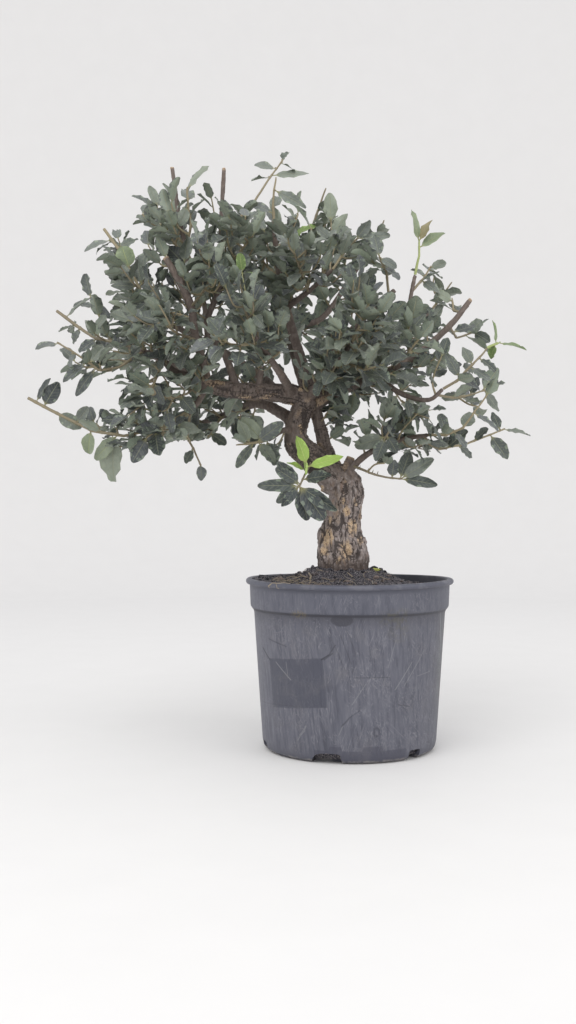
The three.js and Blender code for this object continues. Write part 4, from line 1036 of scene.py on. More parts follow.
# The leafy sprays: young tan twigs with leathery oval leaves, dark grey-green with a pale bloom on top and
# sage below. Each is one growth of the year, set on a limb, and bright yellow-green where it is new.
TWIG_RADII = (1.35, 0.75)
PACKED_TWIG_RADII = (1.7, 1.1)
NARROWEST_LEAF = 11
USUAL_LEAVES = 7
CROWN_MIDDLE = Vector((-65, 0, 320))
SPRAYS = {
    "top_tip": dict(
        on=("inner_branch", 0.8),
        route=[(249, 209, -6), (265, 185, 6), (272, 175, 14), (283, 160, 20)],
        leaves=[
            (276, 169, 255, 163, 8), (283, 160, 288, 152, 6), (281, 163, 296, 169, 7),
            (271, 178, 251, 178, 8), (272, 176, 309, 171, 11),
        ],
        more=2,
    ),
    "top_upright": dict(
        on=("leader", 1),
        route=[(273, 205, -3), (274, 192, -4), (276, 177, -4)],
        leaves=[(275, 190, 306, 207, 13), (273, 214, 249, 200, 10)],
        more=4,
    ),
    "top_middle": dict(
        on=("leader", 0.82),
        route=[(290, 236, 16), (298, 214, 26)],
        leaves=[(297, 220, 284, 203, 8), (293, 240, 316, 224, 11)],
        more=4,
    ),
    "upper_left": dict(
        on=("upper_left_twig", 0.4),
        route=[(191, 228, -58), (188, 206, -62), (187, 188, -63)],
        leaves=[(187, 188, 207, 164, 11), (188, 194, 193, 169, 9), (188, 206, 179, 225, 12)],
        more=4,
    ),
    "upper_left_edge": dict(
        on=("upper_left_twig", 0.25),
        route=[(172, 238, -20), (160, 222, 4), (157, 206, 16)],
        leaves=[(157, 206, 132, 195, 11), (162, 226, 136, 216, 14), (157, 205, 151, 184, 10)],
        more=4,
    ),
    "left_shoulder": dict(
        on=("cut_branch", 0.52),
        route=[(168, 312, -46), (143, 294, -24), (122, 254, -6), (104, 229, 6)],
        leaves=[
            (111, 240, 83, 247, 8), (130, 268, 122, 246, 16), (138, 286, 110, 284, 12),
            (118, 248, 138, 238, 11), (150, 300, 128, 318, 12),
        ],
        more=4,
    ),
    "left_cut_twig": dict(
        on=("left_branch", 0.7),
        route=[(128, 345, -28), (97, 339, -10), (77, 326, 2), (57, 311, 10)],
        leaves=[
            (66, 317, 88, 296, 10), (76, 326, 58, 330, 8), (80, 328, 73, 344, 10),
            (97, 339, 78, 351, 11), (92, 335, 104, 314, 11),
        ],
        more=4,
    ),
    "left_middle": dict(
        on=("left_branch", 0.95),
        route=[(122, 366, -66), (101, 371, -70), (81, 357, -74), (57, 342, -78)],
        leaves=[
            (58, 343, 35, 348, 8), (74, 352, 68, 366, 10), (90, 364, 102, 345, 13),
            (88, 362, 62, 381, 10), (96, 369, 73, 394, 11),
        ],
        more=4,
    ),
    "left_low": dict(
        on=("side_twig", 0.8),
        route=[(160, 428, -14), (126, 436, -2), (93, 431, 8), (60, 415, 14), (28, 398, 18)],
        leaves=[
            (44, 406, 57, 382, 18), (37, 402, 50, 378, 10), (56, 413, 80, 428, 16),
            (76, 422, 88, 407, 12), (92, 431, 86, 454, 11), (112, 436, 113, 482, 20),
        ],
        more=4,
    ),
    "left_back": dict(
        on=("left_back_branch", 1),
        route=[(100, 318, 72), (91, 298, 74)],
        leaves=[(93, 303, 110, 318, 11)],
        more=4,
    ),
    "lower_left": dict(
        on=("side_twig", 1),
        route=[(176, 424, -44), (160, 428, -54), (146, 438, -60)],
        leaves=[(147, 438, 132, 462, 18), (160, 429, 150, 448, 14), (176, 424, 200, 431, 12)],
        more=4,
    ),
    "lower_left_front": dict(
        on=("side_limb", 0.97),
        route=[(190, 392, -46), (174, 398, -60), (160, 396, -68)],
        leaves=[(172, 397, 152, 384, 15), (180, 396, 194, 412, 14), (166, 397, 160, 414, 12)],
        more=4,
    ),
    "hanging": dict(
        on=("side_twig", 0.9),
        route=[(187, 436, -22), (193, 448, -22), (201, 466, -22)],
        leaves=[(193, 449, 184, 462, 9), (200, 464, 203, 480, 9)],
        more=2,
    ),
    "low_front": dict(
        on=("low_front_branch", 1),
        route=[(254, 443, -20), (236, 445, -26)],
        leaves=[
            (250, 443, 239, 420, 13), (256, 442, 283, 422, 16), (254, 443, 235, 467, 11),
            (258, 442, 276, 462, 13),
        ],
        more=3,
    ),
    "low_back": dict(
        on=("low_limb", 0.8),
        route=[(214, 426, 58), (208, 438, 54)],
        leaves=[(220, 419, 205, 418, 10), (212, 434, 226, 444, 11)],
        more=4,
    ),
    "trunk_front": dict(
        on=("left_stem", 0.2),
        route=[(306, 472, -32), (299, 487, -44)],
        leaves=[
            (299, 486, 258, 484, 14), (300, 487, 337, 510, 15), (300, 487, 308, 521, 18),
            (303, 480, 331, 475, 14), (300, 484, 276, 468, 12), (299, 486, 281, 506, 12),
        ],
        more=1,
    ),
    "front_shoot": dict(
        young=True, on=("left_stem", 0.3),
        route=[(306, 474, -46), (307, 464, -54)],
        leaves=[(307, 464, 297, 436, 17), (307, 467, 343, 456, 12), (306, 470, 287, 462, 9)],
        more=0,
    ),
    "upper_right": dict(
        on=("upper_right_branch", 1),
        route=[(342, 256, -12), (348, 247, -4), (358, 238, 4)],
        leaves=[(357, 239, 390, 234, 11), (356, 240, 370, 220, 12), (345, 252, 334, 262, 10)],
        more=4,
    ),
    "upper_right_edge": dict(
        on=("upper_right_branch", 0.8),
        route=[(331, 252, 4), (332, 238, 18), (331, 222, 28)],
        leaves=[(331, 222, 330, 192, 15), (332, 236, 347, 213, 15), (332, 240, 317, 226, 11)],
        more=4,
    ),
    "new_leaves": dict(
        young=True, on=("right_upright", 1),
        route=[(419, 256, -26), (419, 241, -27)],
        leaves=[(418, 242, 413, 209, 11), (419, 241, 431, 219, 11), (419, 248, 444, 230, 10)],
        more=1,
    ),
    "right_upper": dict(
        on=("right_upright", 0.8),
        route=[(424, 278, -8), (431, 266, 8)],
        leaves=[(430, 268, 446, 262, 10), (422, 281, 440, 292, 13)],
        more=4,
    ),
    "right_inner": dict(
        on=("right_inner_limb", 0.95),
        route=[(387, 274, -40), (379, 257, -45)],
        leaves=[(379, 258, 397, 266, 11), (383, 266, 400, 279, 9), (384, 268, 368, 262, 11)],
        more=4,
    ),
    "right_end": dict(
        on=("right_limb", 0.9),
        route=[(454, 312, -18), (452, 298, -4)],
        leaves=[(450, 302, 437, 292, 13), (452, 311, 469, 306, 10)],
        more=4,
    ),
    "right_edge": dict(
        on=("right_limb", 0.8),
        route=[(456, 338, 0), (474, 332, 18)],
        leaves=[(468, 334, 482, 320, 14), (473, 332, 490, 341, 13)],
        more=4,
    ),
    "right_side": dict(
        on=("right_side_branch", 1),
        route=[(457, 381, -46), (467, 370, -48), (481, 356, -50), (487, 348, -51)],
        leaves=[
            (479, 358, 497, 369, 10), (470, 367, 492, 378, 10), (460, 378, 482, 388, 10),
            (460, 378, 447, 354, 13), (472, 365, 463, 346, 12),
        ],
        more=4,
    ),
    "right_shoot": dict(
        young=True, on=("right_side", 1),
        route=[(493, 345, -52), (499, 343, -53)],
        leaves=[(496, 344, 495, 320, 9), (499, 343, 527, 346, 9), (495, 344, 490, 359, 10)],
        more=0,
    ),
    "right_middle": dict(
        on=("right_side_branch", 0.85),
        route=[(452, 398, -14), (470, 395, 10), (488, 389, 26)],
        leaves=[(488, 389, 505, 382, 10), (484, 391, 500, 411, 11), (470, 395, 478, 377, 11)],
        more=4,
    ),
    "right_low": dict(
        on=("right_low_branch", 1),
        route=[(446, 435, -34), (463, 428, -40), (475, 411, -44), (487, 395, -46)],
        leaves=[(474, 413, 500, 428, 11), (446, 435, 441, 413, 11), (454, 432, 468, 446, 10)],
        more=4,
    ),
    "lowest_right": dict(
        on=("right_low_branch", 0.85),
        route=[(437, 449, 4), (466, 444, 24), (492, 434, 34), (504, 429, 38)],
        leaves=[
            (504, 429, 531, 433, 9), (500, 431, 494, 411, 10), (490, 435, 508, 459, 15),
            (474, 441, 488, 428, 10), (458, 446, 474, 456, 10),
        ],
        more=4,
    ),
    "right_pale": dict(
        on=("right_low_branch", 0.3),
        route=[(366, 471, -24), (384, 477, -30), (402, 479, -34)],
        leaves=[
            (392, 478, 394, 460, 12), (400, 479, 410, 451, 16), (402, 479, 433, 458, 14),
            (401, 479, 438, 483, 13),
        ],
        more=1,
    ),
    "right_dark": dict(
        on=("right_low_branch", 0.5),
        route=[(384, 440, -34), (390, 430, -44)],
        leaves=[(386, 438, 376, 461, 14), (386, 437, 354, 446, 16), (387, 436, 398, 452, 13)],
        more=4,
    ),
    "front_peak": dict(on=("front_limb", 1), route=[(247, 315, -113), (240, 298, -118)]),
    "front_left": dict(on=("front_limb", 0.85), route=[(232, 345, -110), (214, 336, -119)]),
    "back_centre": dict(on=("back_limb", 0.5), route=[(262, 356, 70), (244, 344, 84)]),
    "front_middle": dict(on=("front_right_limb", 1), route=[(361, 322, -106), (369, 304, -110)]),
    "left_inner": dict(on=("left_back_branch", 0.6), route=[(150, 330, 62), (140, 312, 74)]),
    "front_low": dict(on=("front_right_limb", 0.75), route=[(362, 370, -96), (380, 366, -104)]),
    "cut_front": dict(on=("cut_branch", 0.6), route=[(206, 288, -80), (214, 266, -92)]),
    "cut_left": dict(on=("cut_branch", 0.36), route=[(178, 334, -82), (162, 322, -96)]),
    "dome_left": dict(on=("inner_branch", 0.65), route=[(240, 252, -54), (253, 236, -68)]),
    "dome_right": dict(on=("upper_right_branch", 0.5), route=[(301, 272, -50), (294, 252, -72)]),
    "back_dome": dict(on=("leader", 0.7), route=[(262, 262, 46), (250, 240, 70)]),
    "right_front": dict(on=("right_inner_limb", 0.6), route=[(374, 334, -68), (388, 320, -86)]),
    "right_outer": dict(on=("right_limb", 0.6), route=[(408, 352, -62), (420, 338, -78)]),
    "back_under": dict(on=("right_back_limb", 0.55), route=[(390, 385, 98), (402, 402, 110)]),
    "left_outer": dict(on=("left_branch", 0.6), route=[(154, 384, -78), (140, 394, -92)]),
    "back_peak": dict(on=("back_limb", 1), route=[(270, 250, 138), (262, 232, 142)]),
    "back_middle": dict(on=("back_limb", 0.85), route=[(252, 292, 138), (232, 284, 150)]),
    "back_low": dict(on=("back_limb", 0.65), route=[(312, 340, 132), (328, 334, 148)]),
    "back_right": dict(on=("back_right_branch", 1), route=[(378, 236, 112), (384, 220, 106)]),
    "back_right_end": dict(on=("right_back_limb", 1), route=[(442, 296, 112), (452, 282, 108)]),
    "back_right_low": dict(on=("right_back_limb", 0.8), route=[(425, 352, 112), (442, 362, 116)]),
    "back_left_end": dict(on=("back_left_limb", 1), route=[(128, 292, 120), (118, 274, 116)]),
    "back_left_low": dict(on=("back_left_limb", 0.75), route=[(170, 352, 128), (150, 366, 138)]),
    "back_left_top": dict(on=("back_upper_branch", 1), route=[(182, 238, 92), (174, 216, 84)]),
    "back_lowest": dict(on=("low_limb", 1), route=[(178, 428, 88), (160, 422, 96)]),
    "back_top": dict(on=("back_top_branch", 1), route=[(320, 205, 58), (326, 188, 54)]),
}
LEAF_OUTLINE = [  # share of the leaf's length, and half its width there as a share of the widest
    (0, 0), (0.07, 0), (0.13, 0.2), (0.2, 0.6), (0.31, 0.87), (0.44, 0.99), (0.58, 1), (0.72, 0.94),
    (0.86, 0.76), (0.96, 0.46), (1, 0.18),
]
LEAF_COLUMNS = (-1, -0.58, -0.14, 0, 0.14, 0.58, 1)
LEAF_WAVES = [[(0.27, 0), (0.55, -1), (0.82, 1), (1, 0)], [(0.32, 0), (0.61, 1), (0.88, -1), (1, 0)]]
STALK_HALF_WIDTH, STALK_HALF_DEPTH, BLADE_HALF_DEPTH = 0.55, 0.42, 0.24
LEAF_SIZE = (24, 14)  # usual length and width
SPIRAL = 137.5  # degrees from one leaf to the next round a twig
TRIED_DEPTHS, TRIED_TURNS = (0, 6, -6, 12, -12, 18, -18, 24), (0, 50, -50, 100, -100, 150, -150, 180)

leaf_shares = np.array([share for share, _ in LEAF_OUTLINE])
leaf_widths = np.array([width for _, width in LEAF_OUTLINE])
leaf_across = np.array(LEAF_COLUMNS)
blade_part = np.clip((leaf_shares - 0.12) / 0.15, 0, 1)
fold_part = np.clip((leaf_shares - 0.2) / 0.3, 0, 1)
leaf_waves = [np.interp(leaf_shares, *zip(*wave)) for wave in LEAF_WAVES]
half_depth = np.outer(1 - blade_part, (0, 0.7, 1, 1, 1, 0.7, 0)) * STALK_HALF_DEPTH
thinning = blade_part * (1.1 - 0.5 * leaf_shares) * BLADE_HALF_DEPTH
half_depth += np.outer(thinning, (0, 0.5, 0.8, 1, 0.8, 0.5, 0))
half_depth[0] = half_depth[-1] = 0
rows, columns = len(leaf_shares), len(leaf_across)
top_index = np.arange(rows * columns).reshape(rows, columns)
inside = np.zeros((rows, columns), bool)
inside[1:-1, 1:-1] = True
under_index = top_index.copy()
under_index[inside] = rows * columns + np.arange(inside.sum())
top_faces, under_faces = [], []
for row in range(rows - 1):
    for column in range(columns - 1):
        corners = [(row, column), (row + 1, column), (row + 1, column + 1), (row, column + 1)]
        top_faces.append([top_index[corner] for corner in corners])
        under_faces.append([under_index[corner] for corner in reversed(corners)])
leaf_faces = np.array(top_faces + under_faces)
leaf_kinds = [0] * len(top_faces) + [1] * len(under_faces)
flat_place = np.stack(np.broadcast_arrays(leaf_across[None, :], leaf_shares[:, None]), -1).reshape(-1, 2)
leaf_place = np.concatenate([flat_place, flat_place[inside.ravel()]])


class Leaf:
    """A leaf: its root, the ways that it points and faces, its sizes, and how it droops, folds and waves."""

    def __init__(self, base, along, up, length, width, habit):
        self.base, self.along, self.up, self.left = base, along, up, up.cross(along)
        self.length, self.width = length, width
        self.droop, self.fold, self.wave = habit
        self.tone, self.phase, self.twist, self.point = (0.5, 0, 0, 0), 0.0, 0.0, 0.0

    def age(self, pick, share=1):
        """Dries the leaf a little: it narrows, folds, waves and twists, by its own amount."""
        curl = pick.random() ** 2 * share
        self.width *= 1 - 0.08 * pick.random() - 0.22 * curl
        self.fold += 0.12 * pick.random() + 0.5 * curl
        self.wave *= 1 + 0.3 * pick.random()
        self.phase = pick.random()
        self.twist = pick.uniform(-0.6, 0.6) * (1 + curl)
        self.point = 0.5 * pick.random()

    def tip(self):
        return self.base + self.along * self.length - self.up * (self.droop * self.length)

    def shape(self):
        """Its points: those of the top, row by row, and then those of the underside inside the rim."""
        half = self.width / 2
        ripple = np.sin(leaf_shares * 23 + self.phase * 40) * blade_part
        teeth = np.sin(leaf_shares * 31 + self.phase * 90) * 0.035
        teeth += np.where(np.arange(rows) % 2, 0.018, -0.018)
        notched = 1 + (teeth + 0.04 * ripple) * blade_part
        taper = 1 - self.point * np.clip(leaf_shares * 2 - 1, 0, 1) ** 2
        widths = np.maximum(leaf_widths * taper * half, STALK_HALF_WIDTH * (1 - blade_part))
        across = np.outer(widths, leaf_across)
        across[:, 0] *= notched
        across[:, -1] *= notched[::-1]
        rim = np.abs(leaf_across)
        side_wave = np.where(leaf_across < 0, leaf_waves[0][:, None], leaf_waves[1][:, None])
        lift = np.outer(leaf_widths * fold_part, rim**1.3) * self.fold * half
        lift += side_wave * self.wave * self.width * rim**2
        lift += np.outer(ripple, rim**3 * np.sign(leaf_across)) * 0.06 * self.width
        left, up, along = np.array(self.left), np.array(self.up), np.array(self.along)
        middle = np.array(self.base) + np.outer(leaf_shares * self.length, along)
        middle -= np.outer(self.droop * self.length * leaf_shares**2, up)
        turn = self.twist * leaf_shares[:, None]
        lefts, ups = left * np.cos(turn) + up * np.sin(turn), up * np.cos(turn) - left * np.sin(turn)
        sheet = middle[:, None, :] + across[..., None] * lefts[:, None, :] + lift[..., None] * ups[:, None, :]
        depth = half_depth[..., None] * ups[:, None, :]
        return np.concatenate([(sheet + depth).reshape(-1, 3), (sheet - depth)[inside]])

    def samples(self):
        """A few places spread over it, for keeping it clear of others."""
        found = []
        for share, width in ((0.25, 0.5), (0.45, 0.85), (0.65, 0.9), (0.85, 0.6)):
            for across in (-1, 0, 1):
                lift = abs(across) * width * self.fold * self.width / 2 - self.droop * self.length * share**2
                aside = self.left * (self.width / 2 * width * across)
                found.append(self.base + self.along * (self.length * share) + aside + self.up * lift)
        found.append(self.tip())
        return np.array(found)


def square_to(direction):
    reference = Vector((0, 0, 1)) if abs(direction.z) < 0.9 else Vector((1, 0, 0))
    side = direction.cross(reference).normalized()
    return side, side.cross(direction)


def facing(along, wish):
    rest = wish - along * wish.dot(along)
    return rest.normalized() if rest.length_squared > 0.01 else square_to(along)[1]


class Twig:
    """The middle line of a spray's twig from where it leaves its limb, in the steps that it was packed in."""

    def __init__(self, curve, start):
        self.curve, self.start, self.steps = curve, start, len(curve.places) - 1
        self.rings = [curve.point(start + (1 - start) * step / self.steps) for step in range(self.steps + 1)]

    def middle(self, share):
        place = (share - self.start) / (1 - self.start) * self.steps
        ring = min(int(place), self.steps - 1)
        return self.rings[ring].lerp(self.rings[ring + 1], place - ring)


def even_draws(seed):
    """The draws from 0 to 1 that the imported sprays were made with."""
    state = seed
    while True:
        state = (state * 1664525 + 1013904223) % 4294967296
        yield state / 4294967296


def leaf_habit(draws):
    """How much a leaf droops, folds and waves."""
    wave = 0.05 + 0.06 * draws[5]
    return 0.04 + 0.14 * draws[2], -0.1 + 0.5 * draws[3], -wave if draws[4] < 0.5 else wave


def seen_leaf(twig, mark, draws, attempt):
    """A leaf that is placed by the pixels of its root and tip and by the width that is seen."""
    root_u, root_v, tip_u, tip_v, seen_width = mark
    shares = np.arange(twig.start + 0.02, 0.985, 0.01)
    bases = [twig.middle(share) for share in shares]
    base = min(bases, key=lambda place: (place - seen(root_u, root_v, place.y)).length)
    depth = base.y + (draws[0] - 0.5) * 14 + TRIED_DEPTHS[attempt]
    reach = seen(tip_u, tip_v, depth) - base
    along, scale = reach.normalized(), (depth - EYE.y) / FOCAL_PIXELS
    width = max(seen_width * scale, NARROWEST_LEAF)
    turn = math.acos(min(seen_width * scale / width, 1)) + 0.35 * draws[1]
    front = facing(along, Vector((0, -1, 0)))
    aside = along.cross(front)
    up = front * math.cos(turn) + aside * ((-1 if aside.z < 0 else 1) * math.sin(turn))
    return Leaf(base, along, up, reach.length, width, leaf_habit(draws))


def ruled_leaf(twig, index, count, draws, attempt):
    """A leaf that is placed by the tree's habit: spirally round the twig and facing up and outwards."""
    step = (index + 0.7 * draws[6]) / max(count - 1, 1)
    share = min(twig.start + (1 - twig.start) * (0.16 + 0.84 * step), 0.985)
    base, direction = twig.middle(share), twig.curve.ahead(share)
    side, above = square_to(direction)
    turn = math.radians(index * SPIRAL + 50 * draws[7] + TRIED_TURNS[attempt])
    spread = math.radians((12 if index == count - 1 else 48) + 22 * draws[8] + 8 * (attempt % 2))
    outwards = (base - CROWN_MIDDLE).normalized()
    along = direction * math.cos(spread) + (side * math.cos(turn) + above * math.sin(turn)) * math.sin(spread)
    along = (along + outwards * 0.15).normalized()
    wish = Vector((draws[9] - 0.5, draws[10] - 0.5, 0.9)) + outwards * 0.6
    size = 0.84 + 0.34 * draws[11]
    width = LEAF_SIZE[1] * size * (0.9 + 0.2 * draws[1])
    return Leaf(base, along, facing(along, wish), LEAF_SIZE[0] * size, width, leaf_habit(draws))


def leaf_colours(name, old_dark, old_light, bloom, young_low, young_high, vein):
    """The finish of one side of the leaves: old green, bloom, veins, and the tones of young and pale ones."""
    leaf = Finish(name)
    place = leaf.node("TexCoord", output="Object")
    spot = leaf.node("Attribute", {"attribute_name": "leaf_place"}, output="Vector")
    across = leaf.node("SeparateXYZ", None, {0: spot})
    share, phase = across.output("Y"), across.output("Z")
    tone = leaf.node("Attribute", {"attribute_name": "leaf_tone"}, output="Color")
    light = leaf.node("SeparateColor", None, {0: tone})
    green, pale, bronze = light.output("Green"), light.output("Blue"), tone.output("Alpha")
    mottle, fine = leaf.grain(place, 5, 3), leaf.grain(place, 1.1, 3, 0.6)
    rib = 1 - leaf.rise(abs(across), 0.02, 0.09)
    lean = share * 8.5 - abs(across) * 1.5 + phase
    lean = lean - lean.math("FLOOR", lean)
    side_veins = (1 - leaf.rise(abs(lean - 0.5), 0.03, 0.13)) * (1 - leaf.rise(abs(across), 0.75, 1)) * 0.6
    # The lightness from leaf_tone holds each leaf's own tone, together with painted light high in the crown
    # and painted shade low by the trunk.
    colour = leaf.mix(light * 0.9 + (mottle - 0.5) * 1.1, old_dark, old_light)
    dusty = leaf.rise(mottle, 0.46, 0.74) * (light * 0.35 + 0.12)
    colour = leaf.mix(dusty + (fine - 0.5) * 0.4, colour, bloom)
    colour = leaf.mix(green, colour, leaf.mix(light + (mottle - 0.5) * 0.5, young_low, young_high))
    colour = leaf.mix(pale, colour, leaf.mix(mottle, (0.221, 0.262, 0.195), (0.351, 0.384, 0.293)))
    colour = leaf.mix(bronze, colour, leaf.mix(mottle, (0.26, 0.207, 0.098), (0.39, 0.329, 0.169)))
    colour = leaf.mix(rib * 0.6, colour, leaf.mix(green, vein, (0.546, 0.634, 0.208)))
    colour = leaf.mix(side_veins * 0.45, colour, leaf.mix(green, vein, (0.442, 0.561, 0.156)))
    colour = leaf.mix((1 - leaf.rise(share, 0.05, 0.24)) * 0.75, colour, (0.39, 0.366, 0.156))
    edge = leaf.rise(abs(across), 0.86, 1) * 0.3
    colour = leaf.mix(edge, colour, leaf.mix(green, (0.169, 0.171, 0.111), (0.442, 0.561, 0.13)))
    roughness = 0.47 + (fine - 0.5) * 0.2 + (mottle - 0.5) * 0.2
    height = (mottle - 0.5) * 0.4 + (fine - 0.5) * 0.12 - rib * 0.5 - side_veins * 0.35
    sheen = {"Specular IOR Level": 0.45, "Sheen Weight": 0.12, "Sheen Roughness": 0.5}
    return leaf.surface(colour, roughness, height, 0.5, **sheen)


leaf_top_material = leaf_colours(
    "leaf_top", (0.041, 0.049, 0.056), (0.122, 0.134, 0.142), (0.22, 0.227, 0.232),
    (0.17, 0.28, 0.045), (0.35, 0.51, 0.105), (0.27, 0.285, 0.2),
)
leaf_under_material = leaf_colours(
    "leaf_underside", (0.156, 0.189, 0.156), (0.247, 0.287, 0.234), (0.312, 0.342, 0.286),
    (0.286, 0.439, 0.091), (0.429, 0.61, 0.156), (0.351, 0.342, 0.221),
)

shoot = Finish("twig_bark")
place = shoot.node("TexCoord", output="Object")
tone = shoot.node("Attribute", {"attribute_name": "leaf_tone"}, output="Color")
youth = shoot.node("SeparateColor", None, {0: tone})
green = youth.output("Green")
spots, fine = shoot.grain(place, 3, 3), shoot.grain(place, 0.8, 3, 0.6)
colour = shoot.mix(spots, (0.155, 0.128, 0.095), (0.255, 0.217, 0.155))
colour = shoot.mix(youth, colour, shoot.mix(spots, (0.24, 0.203, 0.12), (0.4, 0.34, 0.21)))
colour = shoot.mix(green, colour, shoot.mix(spots, (0.362, 0.54, 0.128), (0.551, 0.72, 0.24)))
colour = shoot.mix(shoot.rise(fine, 0.58, 0.72) * 0.4, colour, (0.131, 0.09, 0.064))
twig_material = shoot.surface(colour, 0.65 + (fine - 0.5) * 0.3, (spots - 0.5) + (fine - 0.5) * 0.5, 0.35)


class Spray:
    """The mesh of one piece of foliage, while leaves and twigs are added to it."""

    def __init__(self):
        self.points, self.faces, self.kinds, self.places, self.tones, self.count = [], [], [], [], [], 0

    def add(self, points, faces, kinds, places, tone):
        self.points.append(points)
        self.faces += [[self.count + corner for corner in face] for face in faces]
        self.kinds += kinds
        self.places.append(places)
        self.tones.append(np.tile(tone, (len(points), 1)))
        self.count += len(points)

    def add_leaf(self, leaf):
        places = np.column_stack([leaf_place, np.full(len(leaf_place), leaf.phase)])
        self.add(leaf.shape(), leaf_faces, leaf_kinds, places, leaf.tone)

    def add_twig(self, path, radii, sides, youth, green=0):
        points, faces = [], []
        add_fibre(points, faces, path, radii, sides)
        places = np.zeros((len(points), 3))
        self.add(np.array(points), faces, [2] * len(faces), places, (youth, green, 0, 0))

    def piece(self, name, slot, *nodes):
        mesh = make_mesh(name, np.concatenate(self.points), self.faces)
        mesh.polygons.foreach_set("material_index", self.kinds)
        kept = mesh.attributes.new("leaf_place", "FLOAT_VECTOR", "POINT")
        kept.data.foreach_set("vector", np.concatenate(self.places).astype(np.float32).ravel())
        kept = mesh.attributes.new("leaf_tone", "FLOAT_COLOR", "POINT")
        kept.data.foreach_set("color", np.concatenate(self.tones).astype(np.float32).ravel())
        made = make_piece(name, mesh, leaf_top_material, leaf_under_material, twig_material)
        mesh.set_sharp_from_angle(angle=math.radians(60))
        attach(made, "root")
        if nodes:
            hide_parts(*nodes)


YOUNG_TWIGS = {"front_shoot": 0.9, "new_leaves": 0.45, "right_shoot": 0.5}
CUT_TWIGS = ("left_shoulder", "left_cut_twig", "left_low")
OTHER_ROOTS = {"right_pale": [(348, 464, -4), (356, 467, -13)]}  # twigs that are seen to come from elsewhere
LEAF_TONES = {  # leaves of other tones than the rest: lightness, green, pale and bronze
    ("top_middle", 1): (0.2, 0.75, 0.1, 0), ("left_shoulder", 1): (0.3, 0.5, 0.5, 0),
    ("upper_left", 0): (0.8, 0, 0.8, 0), ("upper_right_edge", 0): (0.6, 0.1, 0.8, 0),
    ("upper_right_edge", 1): (0.6, 0.1, 0.7, 0), ("low_front", 0): (0.6, 0.1, 0.6, 0),
    ("new_leaves", 0): (0.3, 0.5, 0.6, 0), ("new_leaves", 1): (0.5, 0.1, 0.2, 0.8),
    ("new_leaves", 2): (0.3, 0.5, 0.6, 0), ("right_shoot", 0): (0.1, 0.6, 0.2, 0),
    ("right_shoot", 1): (0.1, 0.5, 0.2, 0), ("right_shoot", 2): (0.1, 0.65, 0.1, 0),
    ("low_front", "more 0"): (0.6, 0.2, 0.9, 0), ("left_low", "more 0"): (0.6, 0.3, 0.8, 0),
    ("front_shoot", 2): (0.9, 1, 0, 0), ("right_end", 0): (0.6, 0.1, 0.7, 0),
    ("left_low", 4): (0.6, 0.45, 0.7, 0), ("left_low", 5): (0.7, 0, 0.8, 0),
}
WIDER_LEAVES = {("left_low", 5): 1.45, ("left_low", 4): 1.3, ("left_shoulder", 1): 1.25}
CROWN_EDGE = [  # the crown's outline in front, in pixels
    (150, 190), (186, 170), (206, 172), (214, 196), (246, 208), (262, 200), (276, 186), (304, 200),
    (318, 214), (332, 200), (346, 216), (352, 236), (372, 228), (386, 238), (370, 262), (398, 262),
    (412, 252), (436, 262), (444, 290), (466, 304), (488, 322), (494, 352), (500, 378), (484, 398),
    (494, 414), (474, 430), (458, 448), (428, 462), (400, 470), (372, 458), (345, 450), (330, 440),
    (310, 430), (285, 440), (262, 462), (238, 462), (226, 440), (196, 440), (160, 446), (132, 460),
    (104, 450), (92, 428), (66, 412), (76, 396), (60, 380), (52, 348), (72, 332), (82, 306), (96, 288),
    (90, 252), (112, 236), (134, 204),
]
MOST_BEYOND_EDGE = 9  # how many pixels outside it a leaf may end that isn't placed by a listed mark


@functools.lru_cache(maxsize=None)
def inside_edge(u, v):
    inside = False
    for (a, b), (c, d) in zip(CROWN_EDGE, CROWN_EDGE[1:] + CROWN_EDGE[:1]):
        if (b > v) != (d > v) and u < a + (c - a) * (v - b) / (d - b):
            inside = not inside
    return inside


def beyond_edge(point):
    """How many pixels outside the crown's outline a place is seen, or 0 inside it."""
    u, v = pixel_of(point)
    if inside_edge(round(u), round(v)):
        return 0
    gaps = []
    for (a, b), (c, d) in zip(CROWN_EDGE, CROWN_EDGE[1:] + CROWN_EDGE[:1]):
        share = ((u - a) * (c - a) + (v - b) * (d - b)) / ((c - a) ** 2 + (d - b) ** 2)
        share = min(max(share, 0), 1)
        gaps.append(math.hypot(u - a - (c - a) * share, v - b - (d - b) * share))
    return min(gaps)


CROWN_FOOT, CROWN_TOP = 250, (430, 510)


def tone_and_painted_light(leaf, pick):
    """The tone of an old leaf: random, with painted light that makes it paler at the crown's top, and painted
    shade that makes it dark low down by the trunk.
    """
    # Painted light: leaves high in the crown are made lighter and paler.
    painted_top_light = 0.7 * smooth_step(leaf.base.z, *CROWN_TOP)
    # Painted shade: leaves low down by the trunk are made dark.
    if leaf.base.z < CROWN_FOOT:
        return 0.35 * pick.random(), 0.05 * pick.random(), 0, 0
    light, green = 0.9 * pick.random() + painted_top_light, 0.06 * pick.random()
    return light, green, 0.5 * pick.random() ** 3 + 0.2 * painted_top_light, 0


